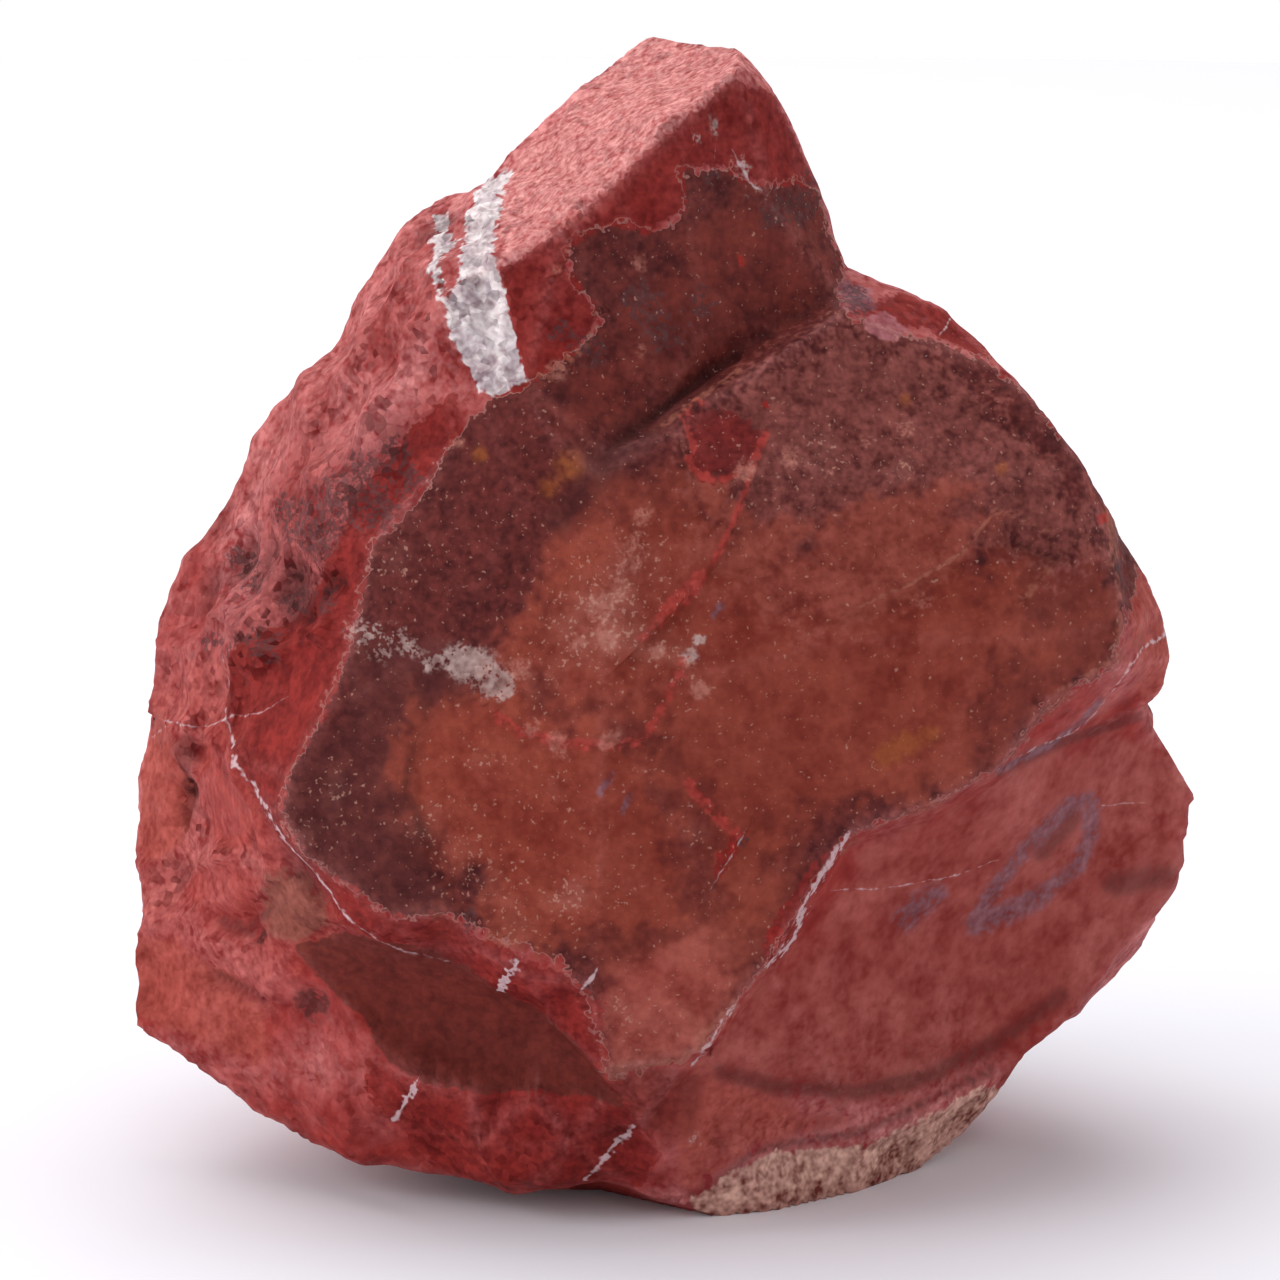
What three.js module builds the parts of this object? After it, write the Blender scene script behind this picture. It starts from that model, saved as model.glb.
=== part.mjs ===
// Red jasper: one natural, hand-size piece of rough stone, broken on all sides, standing on a small
// flat spot. Millimetres, +Z up, origin on the table under the middle of the stone, front towards -Y.
//
// The surface is a cage of corners placed by hand around one inner point, the heart. Each corner
// has its own direction from the heart, so the convex hull of those directions says which corners
// share a facet. Each facet is then parted into small ones and pushed in or out by a low relief.

import * as THREE from 'three';
import { ConvexHull } from 'three/addons/math/ConvexHull.js';
import { TessellateModifier } from 'three/addons/modifiers/TessellateModifier.js';

// Driving dimensions.
const height = 78;              // from the table to the top of the crown
const longestEdge = 3.7;        // of a small facet
const reliefScale = 1;          // of all swells and scoops together

// Height at which the corners below were placed; the whole stone is scaled from it.
const drawnHeight = 78;
const size = height / drawnHeight;
const heart = new THREE.Vector3(-1.9, -1.1, 36);

// Front view, in which the corners that it shows were placed by eye: 1280 pixels wide and high,
// from 400 mm away and 12 degrees above, aimed 37 mm above the table.
const middlePixel = 640;
const pixelsPerMillimetre = 14.5;
const eyeDistance = 400;
const eyeRise = THREE.MathUtils.degToRad(12);
const aim = new THREE.Vector3(-1.9, -4.1, 37);
const rightwards = new THREE.Vector3(1, 0, 0);
const upwards = new THREE.Vector3(0, Math.sin(eyeRise), Math.cos(eyeRise));
const away = new THREE.Vector3(0, Math.cos(eyeRise), -Math.sin(eyeRise));

// Corners in the front view: pixels across and down, and millimetres behind the plane of the aim.
function seen(...picks) {
  return picks.map(([across, down, depth]) => {
    const perPixel = (1 + depth / eyeDistance) / pixelsPerMillimetre;
    return aim.clone()
      .addScaledVector(rightwards, (across - middlePixel) * perPixel)
      .addScaledVector(upwards, (middlePixel - down) * perPixel)
      .addScaledVector(away, depth);
  });
}

// Corners on the table, in the same view: each at the depth where its line of sight comes down.
function onTable(...picks) {
  return picks.map(([across, down]) => {
    const rise = upwards.z * (middlePixel - down) / pixelsPerMillimetre;
    const depth = -(aim.z + rise) / (away.z + rise / eyeDistance);
    return seen([across, down, depth])[0].setZ(0);
  });
}

// Corners that the view doesn't show: millimetres to the right, behind and above the table, from
// the point under the aim.
function hidden(...places) {
  return places.map(([right, behind, above]) => new THREE.Vector3(aim.x + right, aim.y + behind, above));
}

// Corners of the cage, by feature. The relief is how far the low swells move the surface there at
// most: next to nothing on the plate, most on the rough west face.
const features = {
  // Far edge of the crown, from the tip east to the eave and down to the neck.
  crownEdge: { relief: 0.3, corners: seen(
    [645, 38, -2], [690, 43, -5], [738, 46, -9], [768, 86, -12], [804, 150, -9], [829, 216, -8],
    [847, 266, -8],
  ) },
  // West edge of the crown, falling to the end of the quartz vein.
  crownWest: { relief: 0.3, corners: seen(
    [618, 58, -3], [583, 88, -4], [540, 123, -5], [502, 164, -6], [470, 190, -6],
  ) },
  // Near edge of the crown, where its slope breaks into the wall.
  crownRidge: { relief: 0.3, corners: seen(
    [738, 70, -15], [678, 116, -17], [612, 182, -18.5], [562, 229, -19], [493, 259, -19],
  ) },
  // Wall under the crown.
  wall: { relief: 0.35, corners: seen(
    [506, 310, -19], [526, 386, -19.9], [640, 260, -17.3], [770, 200, -13.5], [700, 330, -15.5],
  ) },
  // Bottom of the groove at the foot of the wall.
  groove: { relief: 0.15, corners: seen(
    [838, 291, -11], [778, 328, -12.5], [712, 370, -14.5], [655, 415, -17.6], [600, 450, -19.7],
  ) },
  // Lip of the groove, where the plate begins.
  grooveLip: { relief: 0.15, corners: seen(
    [845, 312, -13.5], [783, 352, -16], [722, 396, -18], [664, 440, -19.6], [600, 476, -20.4],
  ) },
  // East shoulder: the thin flake and the curved rim below it.
  shoulder: { relief: 0.3, corners: seen(
    [900, 290, -8], [945, 313, -8], [972, 338, -8], [998, 368, -11], [1046, 420, -12],
    [1083, 468, -12.3], [1101, 505, -10.5],
  ) },
  // East cheek, down to the notch that parts it from the hip.
  cheek: { relief: 0.35, corners: seen(
    [1121, 538, -7], [1146, 578, -5], [1166, 612, -4], [1171, 640, -3], [1178, 660, -3],
    [1176, 690, -2], [1144, 704, 0], [1147, 714, 4],
  ) },
  // West edge of the plate, from the top down.
  plateWest: { relief: 0.2, corners: seen(
    [486, 409, -19.8], [453, 432, -19.5], [432, 474, -19.3], [372, 546, -18.5],
    [361, 595, -18.5], [349, 651, -18.5], [322, 716, -18.2], [286, 775, -17.4],
    [280, 812, -17.1],
  ) },
  // Lower edge of the plate, west to its tip.
  plateFoot: { relief: 0.2, corners: seen(
    [303, 856, -17.1], [350, 886, -17.3], [391, 918, -17.2], [448, 914, -17.6],
    [480, 951, -17.2], [530, 978, -17], [590, 984, -17], [607, 1069, -14.8], [681, 1058, -14.8],
    [709, 1042, -15],
  ) },
  // Lower edge of the plate, tip to the east.
  plateEast: { relief: 0.2, corners: seen(
    [737, 1003, -15.4], [768, 960, -15.8], [849, 833, -16], [931, 806, -15], [1000, 768, -13.5],
    [1050, 698, -13], [1111, 667, -11.5], [1125, 628, -11.5], [1113, 570, -12],
    [1097, 520, -12.3],
  ) },
  // Face of the plate, a shallow dome.
  plate: { relief: 0.12, corners: seen(
    [600, 700, -21], [850, 640, -18.5], [600, 880, -19], [800, 470, -18], [955, 480, -15.3],
    [450, 640, -20], [430, 820, -18.6], [985, 640, -16], [620, 560, -20.9], [720, 900, -17.7],
    [470, 500, -19.8], [545, 428, -20.1], [520, 500, -20.4],
  ) },
  // Foot of the step that drops from the plate on the west.
  scarp: { relief: 0.35, corners: seen(
    [236, 756, -11.5], [258, 800, -13.6], [286, 852, -14.6], [326, 900, -14.8],
    [372, 934, -14.4], [430, 956, -14.3], [496, 989, -14.2], [552, 1022, -13.8],
    [604, 1074, -13.2],
  ) },
  // Recess right under that step.
  recess: { relief: 0.2, corners: seen(
    [305, 928, -10.6], [350, 953, -11], [402, 972, -11.2], [458, 990, -11.2], [508, 1014, -11],
    [562, 1046, -11],
  ) },
  // Smooth hollow under the plate and its rim.
  hollow: { relief: 0.25, corners: seen(
    [440, 1030, -9], [520, 1050, -10], [289, 950, -9.6], [340, 990, -9.6], [366, 1052, -9.8],
    [410, 1085, -10.4], [471, 1094, -11], [535, 1092, -11.6], [605, 1098, -12.2],
  ) },
  // Broken ground between the hollow and the lower lip.
  belly: { relief: 0.6, corners: seen(
    [480, 1140, -9], [570, 1140, -10.4], [400, 1130, -7], [330, 1080, -5.5], [640, 1130, -11.2],
    [693, 1122, -10.2],
  ) },
  // Lower lip, west of the flat spot.
  lip: { relief: 0.3, corners: seen(
    [632, 1189, -7.5], [600, 1182, -7], [546, 1183, -6.5], [512, 1190, -6.5], [430, 1170, -5],
    [343, 1152, -3], [254, 1116, 0], [190, 1060, 1],
  ) },
  // West heel, a block with its own flat faces.
  heel: { relief: 0.35, corners: seen(
    [136, 1026, 2], [133, 938, 3], [143, 922, 4], [209, 977, -1.5], [254, 1004, -5],
    [275, 1060, -4], [200, 1052, -0.5],
  ) },
  // West outline, from the heel up to the crown.
  westEdge: { relief: 0.6, corners: seen(
    [142, 860, 5], [138, 782, 6], [152, 700, 4], [161, 640, 3], [183, 580, 2], [207, 528, 1],
    [231, 484, 0], [275, 410, -2], [303, 376, -3], [335, 342, -3], [361, 290, -4],
    [398, 234, -5], [430, 211, -5],
  ) },
  // Rough west face between its outline and the plate.
  westFace: { relief: 0.8, corners: seen(
    [443, 302, -18.2], [390, 330, -13], [400, 420, -16.8], [330, 420, -9.5], [340, 500, -15.5],
    [280, 500, -7], [262, 575, -9.5], [215, 600, -2], [325, 640, -16.6], [270, 690, -12],
    [215, 700, -5], [195, 770, -3.5], [190, 850, -1], [245, 860, -9.5], [215, 900, -3.5],
    [300, 915, -12.5], [160, 900, 2.5], [440, 235, -10.5],
  ) },
  // Smooth east fall under the plate.
  fall: { relief: 0.2, corners: seen(
    [852, 846, -13], [935, 822, -10.5], [1010, 776, -8], [1085, 736, -3], [772, 975, -12.8],
    [742, 1012, -12.6], [712, 1056, -12.2], [930, 940, -2.5], [1080, 850, 2.5],
    [680, 1170, -8.7],
  ) },
  // East outline of the fall, from the notch down.
  hip: { relief: 0.25, corners: seen(
    [1167, 750, 6], [1195, 797, 8], [1184, 845, 9], [1179, 885, 10], [1158, 912, 10],
    [1121, 955, 9], [1078, 1010, 8], [1026, 1054, 6], [996, 1096, 7], [955, 1138, 6.5],
  ) },
  // Crusted strip under the fall.
  crust: { relief: 0.25, corners: seen(
    [680, 1204, -7.3], [739, 1167, -7], [800, 1143, -4], [867, 1135, -1.5], [931, 1114, 1.5],
    [988, 1084, 4.5],
  ) },
  // Flat spot that the stone rests on.
  flatSpot: { relief: 0, corners: [
    ...onTable([716, 1217], [775, 1211], [854, 1193], [918, 1170], [505, 1170], [600, 1190]),
    ...hidden([19, 12, 0], [4, 20, 0], [-10, 13, 0]),
  ] },
  // Underside around the flat spot.
  underside: { relief: 0.4, corners: hidden(
    [-22, 4, 6], [-27, 14, 12], [-14, 22, 6], [25, 10, 4], [33, 12, 11],
  ) },
  // Back, upper half.
  backUpper: { relief: 0.6, corners: hidden(
    [4, 14, 72], [-6, 13, 68], [-16, 12, 60], [-25, 12, 50], [-14, 22, 46], [0, 26, 50],
    [12, 19, 58], [12, 8, 60], [24, 20, 46], [20, 8, 54], [31, 13, 41],
  ) },
  // Back, lower half.
  backLower: { relief: 0.6, corners: hidden(
    [-31, 13, 38], [-32, 15, 24], [-24, 24, 30], [-20, 26, 16], [-6, 29, 22], [8, 30, 12],
    [12, 30, 32], [36, 14, 28], [28, 24, 22],
  ) },
};

// The low swells of a broken stone: long waves that cross each other, each with its direction
// times 2 pi over its wavelength, its share and its start.
const swells = [
  { along: [0.42, 0.11, 0.23], share: 0.30, start: 0.4 },
  { along: [-0.19, 0.47, 0.31], share: 0.25, start: 2.1 },
  { along: [0.71, -0.28, -0.36], share: 0.20, start: 4.0 },
  { along: [0.26, 0.39, -0.83], share: 0.15, start: 1.2 },
  { along: [-0.88, -0.34, 0.55], share: 0.10, start: 5.3 },
];

// Shallow scoops where a flake came off, or a soft spot fell out. They reach their full depth
// where the relief is at least fullScoopRelief, and fade out towards the flat spot.
const fullScoopRelief = 0.25;
const scoops = [
  { at: [-23.5, -10.5, 43], radius: 4.5, depth: 1.3 },   // dark pit on the west face
  { at: [-30.5, -6, 22], radius: 6, depth: 1.4 },        // round scar over the heel
  { at: [-14, -14.5, 12.5], radius: 7, depth: 1.2 },     // deepest of the hollow under the plate
  { at: [8, 22, 50], radius: 13, depth: 2.2 },           // wide scar on the back
  { at: [-20, 17, 26], radius: 11, depth: 1.8 },         // its neighbour lower down
  { at: [23, 20, 18], radius: 10, depth: 1.6 },          // scar low on the east of the back
];

// Every corner with its relief and its direction from the heart.
function cageCorners() {
  return Object.values(features).flatMap(({ relief, corners }) => corners.map((position) => (
    { position, relief, direction: position.clone().sub(heart).normalize() }
  )));
}

// The facets of the cage as loose triangles. Their uv carries the relief to the small facets.
function cageGeometry(corners) {
  const cornerOf = new Map(corners.map((corner) => [corner.direction, corner]));
  const hull = new ConvexHull().setFromPoints(corners.map((corner) => corner.direction));
  const positions = [];
  const reliefs = [];
  for (const face of hull.faces) {
    let edge = face.edge;
    do {
      const { position, relief } = cornerOf.get(edge.head().point);
      positions.push(...position.toArray());
      reliefs.push(relief, 0);
      edge = edge.next;
    } while (edge !== face.edge);
  }
  const geometry = new THREE.BufferGeometry();
  geometry.setAttribute('position', new THREE.Float32BufferAttribute(positions, 3));
  geometry.setAttribute('uv', new THREE.Float32BufferAttribute(reliefs, 2));
  return geometry;
}

// Sum of the swells at a point, between -1 and 1.
function swellAt(point) {
  let sum = 0;
  for (const { along, share, start } of swells) {
    sum += share * Math.sin(point.dot(new THREE.Vector3(...along)) + start);
  }
  return sum;
}

// Depth of the scoops at a point: each is a smooth bowl inside its radius.
function scoopAt(point) {
  let sum = 0;
  for (const { at, radius, depth } of scoops) {
    const share = point.distanceTo(new THREE.Vector3(...at)) / radius;
    if (share < 1) sum += depth * (1 - share * share) ** 2;
  }
  return sum;
}

// Every small facet's corner moves along its line from the heart, so the surface never folds.
function pushByRelief(geometry) {
  const position = geometry.attributes.position;
  const reliefs = geometry.attributes.uv;
  const point = new THREE.Vector3();
  for (let i = 0; i < position.count; i += 1) {
    point.fromBufferAttribute(position, i);
    const outwards = point.clone().sub(heart).normalize();
    const relief = reliefs.getX(i);
    const scooped = Math.min(1, relief / fullScoopRelief);
    const push = reliefScale * (relief * swellAt(point) - scooped * scoopAt(point));
    point.addScaledVector(outwards, push);
    position.setXYZ(i, point.x, point.y, point.z);
  }
}

function jasper() {
  const mostHalvings = 12;
  const cage = cageGeometry(cageCorners());
  const geometry = new TessellateModifier(longestEdge, mostHalvings).modify(cage);
  pushByRelief(geometry);
  geometry.deleteAttribute('uv');
  geometry.scale(size, size, size);
  geometry.computeVertexNormals();
  const material = new THREE.MeshStandardMaterial({
    name: 'red jasper',
    color: 0x8a3a36,
    roughness: 0.62,
    metalness: 0,
    flatShading: true,
  });
  const mesh = new THREE.Mesh(geometry, material);
  mesh.name = 'red_jasper';
  return mesh;
}

const stone = new THREE.Group();
stone.name = 'stone';
stone.add(jasper());

export default stone;
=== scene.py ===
"""Rough red jasper, one stone on a pale floor, dressed on its CAD model.

The stone's surface is r = f(row, column): a ray leaves one inner point, the heart, for every
knot of a polar grid and meets a cage of corners, which is the CAD solid's cage but
for five corners of the smooth hollow. Low swells, scoops, smooth scars, ledges and fracture
grain then move each knot. What the front shows is picked in its view, in pixels, and taken to
millimetres on the sight plane, which faces the camera through its target. From there it reaches
the surface along the line of sight.
"""
import math

import bmesh
import bpy
import numpy as np
from mathutils import Matrix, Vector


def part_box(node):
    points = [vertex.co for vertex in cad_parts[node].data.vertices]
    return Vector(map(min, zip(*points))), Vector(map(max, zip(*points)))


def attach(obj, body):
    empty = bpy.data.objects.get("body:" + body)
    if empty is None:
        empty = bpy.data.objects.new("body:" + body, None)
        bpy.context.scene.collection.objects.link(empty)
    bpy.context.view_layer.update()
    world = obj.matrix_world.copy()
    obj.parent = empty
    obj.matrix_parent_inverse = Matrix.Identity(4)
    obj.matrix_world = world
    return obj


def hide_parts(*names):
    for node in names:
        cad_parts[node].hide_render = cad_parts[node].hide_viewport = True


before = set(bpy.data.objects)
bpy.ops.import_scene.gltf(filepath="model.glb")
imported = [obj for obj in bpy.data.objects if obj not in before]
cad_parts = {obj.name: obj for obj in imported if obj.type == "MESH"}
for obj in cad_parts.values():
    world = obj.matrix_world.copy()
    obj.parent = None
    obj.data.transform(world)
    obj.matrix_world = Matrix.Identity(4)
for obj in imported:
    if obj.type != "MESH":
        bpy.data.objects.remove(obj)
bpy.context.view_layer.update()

bl_info = {
    "name": "Rough red jasper",
    "version": (1, 0, 0),
    "blender": (4, 5, 0),
    "location": "View3D > Sidebar > Jasper",
    "description": "Builds a rough red jasper stone and the pale stage it stands on",
    "category": "Add Mesh",
}

# Sizes. The cage is drawn in millimetres at a height of 78 mm, and takes the CAD solid's height.
MM = 0.001
DRAWN_HEIGHT = 78.0
NODE = "red_jasper"
HEART = np.array([-1.9, -1.1, 36.0])

# The camera looks a little down on the stone, from where the photograph was taken.
CAMERA_DISTANCE = 400.0
CAMERA_RISE = math.radians(12.0)
CAMERA_TARGET = np.array([-1.9, -4.1, 37.0])
PICTURE_WIDTH = 88.3
SENSOR = 36.0

# Sight plane: to the right, upwards, and towards the camera.
RIGHT = np.array([1.0, 0.0, 0.0])
UP = np.array([0.0, math.sin(CAMERA_RISE), math.cos(CAMERA_RISE)])
FRONT = np.array([0.0, -math.cos(CAMERA_RISE), math.sin(CAMERA_RISE)])

# Front view in which places are picked: 1280 pixels wide and high.
MIDDLE_PIXEL = 640.0
PIXELS_PER_MM = 14.5


def picked(*places):
    """Places picked in the front view, on the sight plane: pixels across and down become
    millimetres right of and above its middle, and what follows those two stays as it is."""
    table = np.array(places, dtype=float)
    table[:, 0] = (table[:, 0] - MIDDLE_PIXEL) / PIXELS_PER_MM
    table[:, 1] = (MIDDLE_PIXEL - table[:, 1]) / PIXELS_PER_MM
    return table


def on_ray(right, up, depth):
    """The place at a depth behind the sight plane, on the line of sight through right and up,
    which spreads with 1 + depth / distance."""
    spread = 1 + depth / CAMERA_DISTANCE
    return (CAMERA_TARGET + np.outer(right * spread, RIGHT) + np.outer(up * spread, UP)
            - np.outer(depth, FRONT))


def seen(*corners):
    """Corners that the front view shows: pixels across and down, and millimetres of depth."""
    return on_ray(*picked(*corners).T)


def on_table(*corners):
    """Corners on the table: the depth at which each line of sight comes down to height 0."""
    right, up = picked(*corners).T
    rise = up * UP[2]
    return on_ray(right, up, (CAMERA_TARGET[2] + rise) / (FRONT[2] - rise / CAMERA_DISTANCE))


def hidden(*corners):
    """Corners out of sight: millimetres to the right, behind and above the table, from the
    point under the camera's target."""
    return np.array(corners) + CAMERA_TARGET * (1, 1, 0)


# Corners of the cage by feature, as the CAD solid has them, apart from five of the hollow that lie
# up to 1.2 mm deeper or shallower. Before them stand four amounts: how far the swells move the
# surface, how granular the break is, how hackly, and how much dark skin.
CAGE = {
    # Far edge of the crown, from the tip east to the eave and down to the neck.
    "crown_edge": ((0.3, 1, 0.1, 0), seen(
        (645, 38, -2), (690, 43, -5), (738, 46, -9), (768, 86, -12), (804, 150, -9), (829, 216, -8),
        (847, 266, -8),
    )),
    # West edge of the crown, falling to the end of the quartz vein.
    "crown_west": ((0.3, 1, 0.1, 0), seen(
        (618, 58, -3), (583, 88, -4), (540, 123, -5), (502, 164, -6), (470, 190, -6),
    )),
    # Near edge of the crown, where its slope breaks into the wall.
    "crown_ridge": ((0.3, 0.8, 0.1, 0), seen(
        (738, 70, -15), (678, 116, -17), (612, 182, -18.5), (562, 229, -19), (493, 259, -19),
    )),
    # Wall under the crown.
    "wall": ((0.35, 0.05, 0.15, 0), seen(
        (506, 310, -19), (526, 386, -19.9), (640, 260, -17.3), (770, 200, -13.5), (700, 330, -15.5),
    )),
    # Bottom of the groove at the foot of the wall.
    "groove": ((0.15, 0.2, 0, 1), seen(
        (838, 291, -11), (778, 328, -12.5), (712, 370, -14.5), (655, 415, -17.6), (600, 450, -19.7),
    )),
    # Lip of the groove, where the plate begins.
    "groove_lip": ((0.15, 0.2, 0, 1), seen(
        (845, 312, -13.5), (783, 352, -16), (722, 396, -18), (664, 440, -19.6), (600, 476, -20.4),
    )),
    # East shoulder: the thin flake and the curved rim below it.
    "shoulder": ((0.3, 0.3, 0.3, 0), seen(
        (900, 290, -8), (945, 313, -8), (972, 338, -8), (998, 368, -11), (1046, 420, -12),
        (1083, 468, -12.3), (1101, 505, -10.5),
    )),
    # East cheek, down to the notch that parts it from the hip.
    "cheek": ((0.3, 0.35, 0.05, 0), seen(
        (1121, 538, -7), (1146, 578, -5), (1166, 612, -4), (1171, 640, -3), (1178, 660, -3),
        (1176, 690, -2), (1144, 704, 0), (1147, 714, 4),
    )),
    # West edge of the plate, from the top down.
    "plate_west": ((0.2, 0.2, 0, 1), seen(
        (486, 409, -19.8), (453, 432, -19.5), (432, 474, -19.3), (372, 546, -18.5),
        (361, 595, -18.5), (349, 651, -18.5), (322, 716, -18.2), (286, 775, -17.4),
        (280, 812, -17.1),
    )),
    # Lower edge of the plate, west to its tip.
    "plate_foot": ((0.2, 0.2, 0.1, 1), seen(
        (303, 856, -17.1), (350, 886, -17.3), (391, 918, -17.2), (448, 914, -17.6),
        (480, 951, -17.2), (530, 978, -17), (590, 984, -17), (607, 1069, -14.8), (681, 1058, -14.8),
        (709, 1042, -15),
    )),
    # Lower edge of the plate, tip to the east.
    "plate_east": ((0.2, 0.15, 0, 1), seen(
        (737, 1003, -15.4), (768, 960, -15.8), (849, 833, -16), (931, 806, -15), (1000, 768, -13.5),
        (1050, 698, -13), (1111, 667, -11.5), (1125, 628, -11.5), (1113, 570, -12),
        (1097, 520, -12.3),
    )),
    # Face of the plate, a shallow dome.
    "plate": ((0.12, 0.1, 0, 1), seen(
        (600, 700, -21), (850, 640, -18.5), (600, 880, -19), (800, 470, -18), (955, 480, -15.3),
        (450, 640, -20), (430, 820, -18.6), (985, 640, -16), (620, 560, -20.9), (720, 900, -17.7),
        (470, 500, -19.8), (545, 428, -20.1), (520, 500, -20.4),
    )),
    # Foot of the step that drops from the plate on the west.
    "scarp": ((0.35, 0.1, 0.6, 0), seen(
        (236, 756, -11.5), (258, 800, -13.6), (286, 852, -14.6), (326, 900, -14.8),
        (372, 934, -14.4), (430, 956, -14.3), (496, 989, -14.2), (552, 1022, -13.8),
        (604, 1074, -13.2),
    )),
    # Recess right under that step.
    "recess": ((0.2, 0.1, 0.2, 0), seen(
        (305, 928, -10.6), (350, 953, -11), (402, 972, -11.2), (458, 990, -11.2), (508, 1014, -11),
        (562, 1046, -11),
    )),
    # Smooth hollow under the plate and its rim.
    "hollow": ((0.25, 0.05, 0.05, 1), seen(
        (440, 1030, -10.2), (520, 1050, -10.8), (289, 950, -9.6), (340, 990, -9.6), (366, 1052, -9.6),
        (410, 1085, -9.8), (471, 1094, -10.8), (535, 1092, -11.6), (605, 1098, -12.2),
    )),
    # Broken ground between the hollow and the lower lip.
    "belly": ((0.6, 0.15, 0.7, 0), seen(
        (480, 1140, -9), (570, 1140, -10.4), (400, 1130, -7), (330, 1080, -5.5), (640, 1130, -11.2),
        (693, 1122, -10.2),
    )),
    # Lower lip, west of the flat spot.
    "lip": ((0.3, 0.15, 0.5, 0), seen(
        (632, 1189, -7.5), (600, 1182, -7), (546, 1183, -6.5), (512, 1190, -6.5), (430, 1170, -5),
        (343, 1152, -3), (254, 1116, 0), (190, 1060, 1),
    )),
    # West heel, a block with its own flat faces.
    "heel": ((0.35, 0.4, 0.1, 0), seen(
        (136, 1026, 2), (133, 938, 3), (143, 922, 4), (209, 977, -1.5), (254, 1004, -5),
        (275, 1060, -4), (200, 1052, -0.5),
    )),
    # West outline, from the heel up to the crown.
    "west_edge": ((0.6, 0.55, 0.5, 0), seen(
        (142, 860, 5), (138, 782, 6), (152, 700, 4), (161, 640, 3), (183, 580, 2), (207, 528, 1),
        (231, 484, 0), (275, 410, -2), (303, 376, -3), (335, 342, -3), (361, 290, -4),
        (398, 234, -5), (430, 211, -5),
    )),
    # Rough west face between its outline and the plate.
    "west_face": ((0.8, 0.5, 1, 0), seen(
        (443, 302, -18.2), (390, 330, -13), (400, 420, -16.8), (330, 420, -9.5), (340, 500, -15.5),
        (280, 500, -7), (262, 575, -9.5), (215, 600, -2), (325, 640, -16.6), (270, 690, -12),
        (215, 700, -5), (195, 770, -3.5), (190, 850, -1), (245, 860, -9.5), (215, 900, -3.5),
        (300, 915, -12.5), (160, 900, 2.5), (440, 235, -10.5),
    )),
    # Smooth east fall under the plate.
    "fall": ((0.2, 0.05, 0, 0), seen(
        (852, 846, -13), (935, 822, -10.5), (1010, 776, -8), (1085, 736, -3), (772, 975, -12.8),
        (742, 1012, -12.6), (712, 1056, -12.2), (930, 940, -2.5), (1080, 850, 2.5),
        (680, 1170, -8.7),
    )),
    # East outline of the fall, from the notch down.
    "hip": ((0.25, 0.1, 0.05, 0), seen(
        (1167, 750, 6), (1195, 797, 8), (1184, 845, 9), (1179, 885, 10), (1158, 912, 10),
        (1121, 955, 9), (1078, 1010, 8), (1026, 1054, 6), (996, 1096, 7), (955, 1138, 6.5),
    )),
    # Crusted strip under the fall.
    "crust": ((0.25, 0.8, 0.2, 0), seen(
        (680, 1204, -7.3), (739, 1167, -7), (800, 1143, -4), (867, 1135, -1.5), (931, 1114, 1.5),
        (988, 1084, 4.5),
    )),
    # Flat spot that the stone rests on.
    "flat_spot": ((0, 0, 0, 0), np.concatenate([
        on_table((716, 1217), (775, 1211), (854, 1193), (918, 1170), (505, 1170), (600, 1190)),
        hidden((19, 12, 0), (4, 20, 0), (-10, 13, 0)),
    ])),
    # Underside around the flat spot.
    "underside": ((0.4, 0.5, 0.6, 0), hidden(
        (-22, 4, 6), (-27, 14, 12), (-14, 22, 6), (25, 10, 4), (33, 12, 11),
    )),
    # Back, upper half.
    "back_upper": ((0.6, 0.7, 0.5, 0), hidden(
        (4, 14, 72), (-6, 13, 68), (-16, 12, 60), (-25, 12, 50), (-14, 22, 46), (0, 26, 50),
        (12, 19, 58), (12, 8, 60), (24, 20, 46), (20, 8, 54), (31, 13, 41),
    )),
    # Back, lower half.
    "back_lower": ((0.6, 0.5, 0.5, 1), hidden(
        (-31, 13, 38), (-32, 15, 24), (-24, 24, 30), (-20, 26, 16), (-6, 29, 22), (8, 30, 12),
        (12, 30, 32), (36, 14, 28), (28, 24, 22),
    )),
}

# The low swells and scoops of the CAD solid: direction times 2 pi over wavelength, share, start.
SWELLS = [
    ((0.42, 0.11, 0.23), 0.30, 0.4), ((-0.19, 0.47, 0.31), 0.25, 2.1),
    ((0.71, -0.28, -0.36), 0.20, 4.0), ((0.26, 0.39, -0.83), 0.15, 1.2),
    ((-0.88, -0.34, 0.55), 0.10, 5.3),
]
# Place, radius and depth of each scoop.
SCOOPS = [
    ((-23.5, -10.5, 43.0), 4.5, 1.3), ((-30.5, -6.0, 22.0), 6.0, 1.4),
    ((-14.0, -14.5, 12.5), 7.0, 1.2), ((8.0, 22.0, 50.0), 13.0, 2.2),
    ((-20.0, 17.0, 26.0), 11.0, 1.8), ((23.0, 20.0, 18.0), 10.0, 1.6),
]

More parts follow.
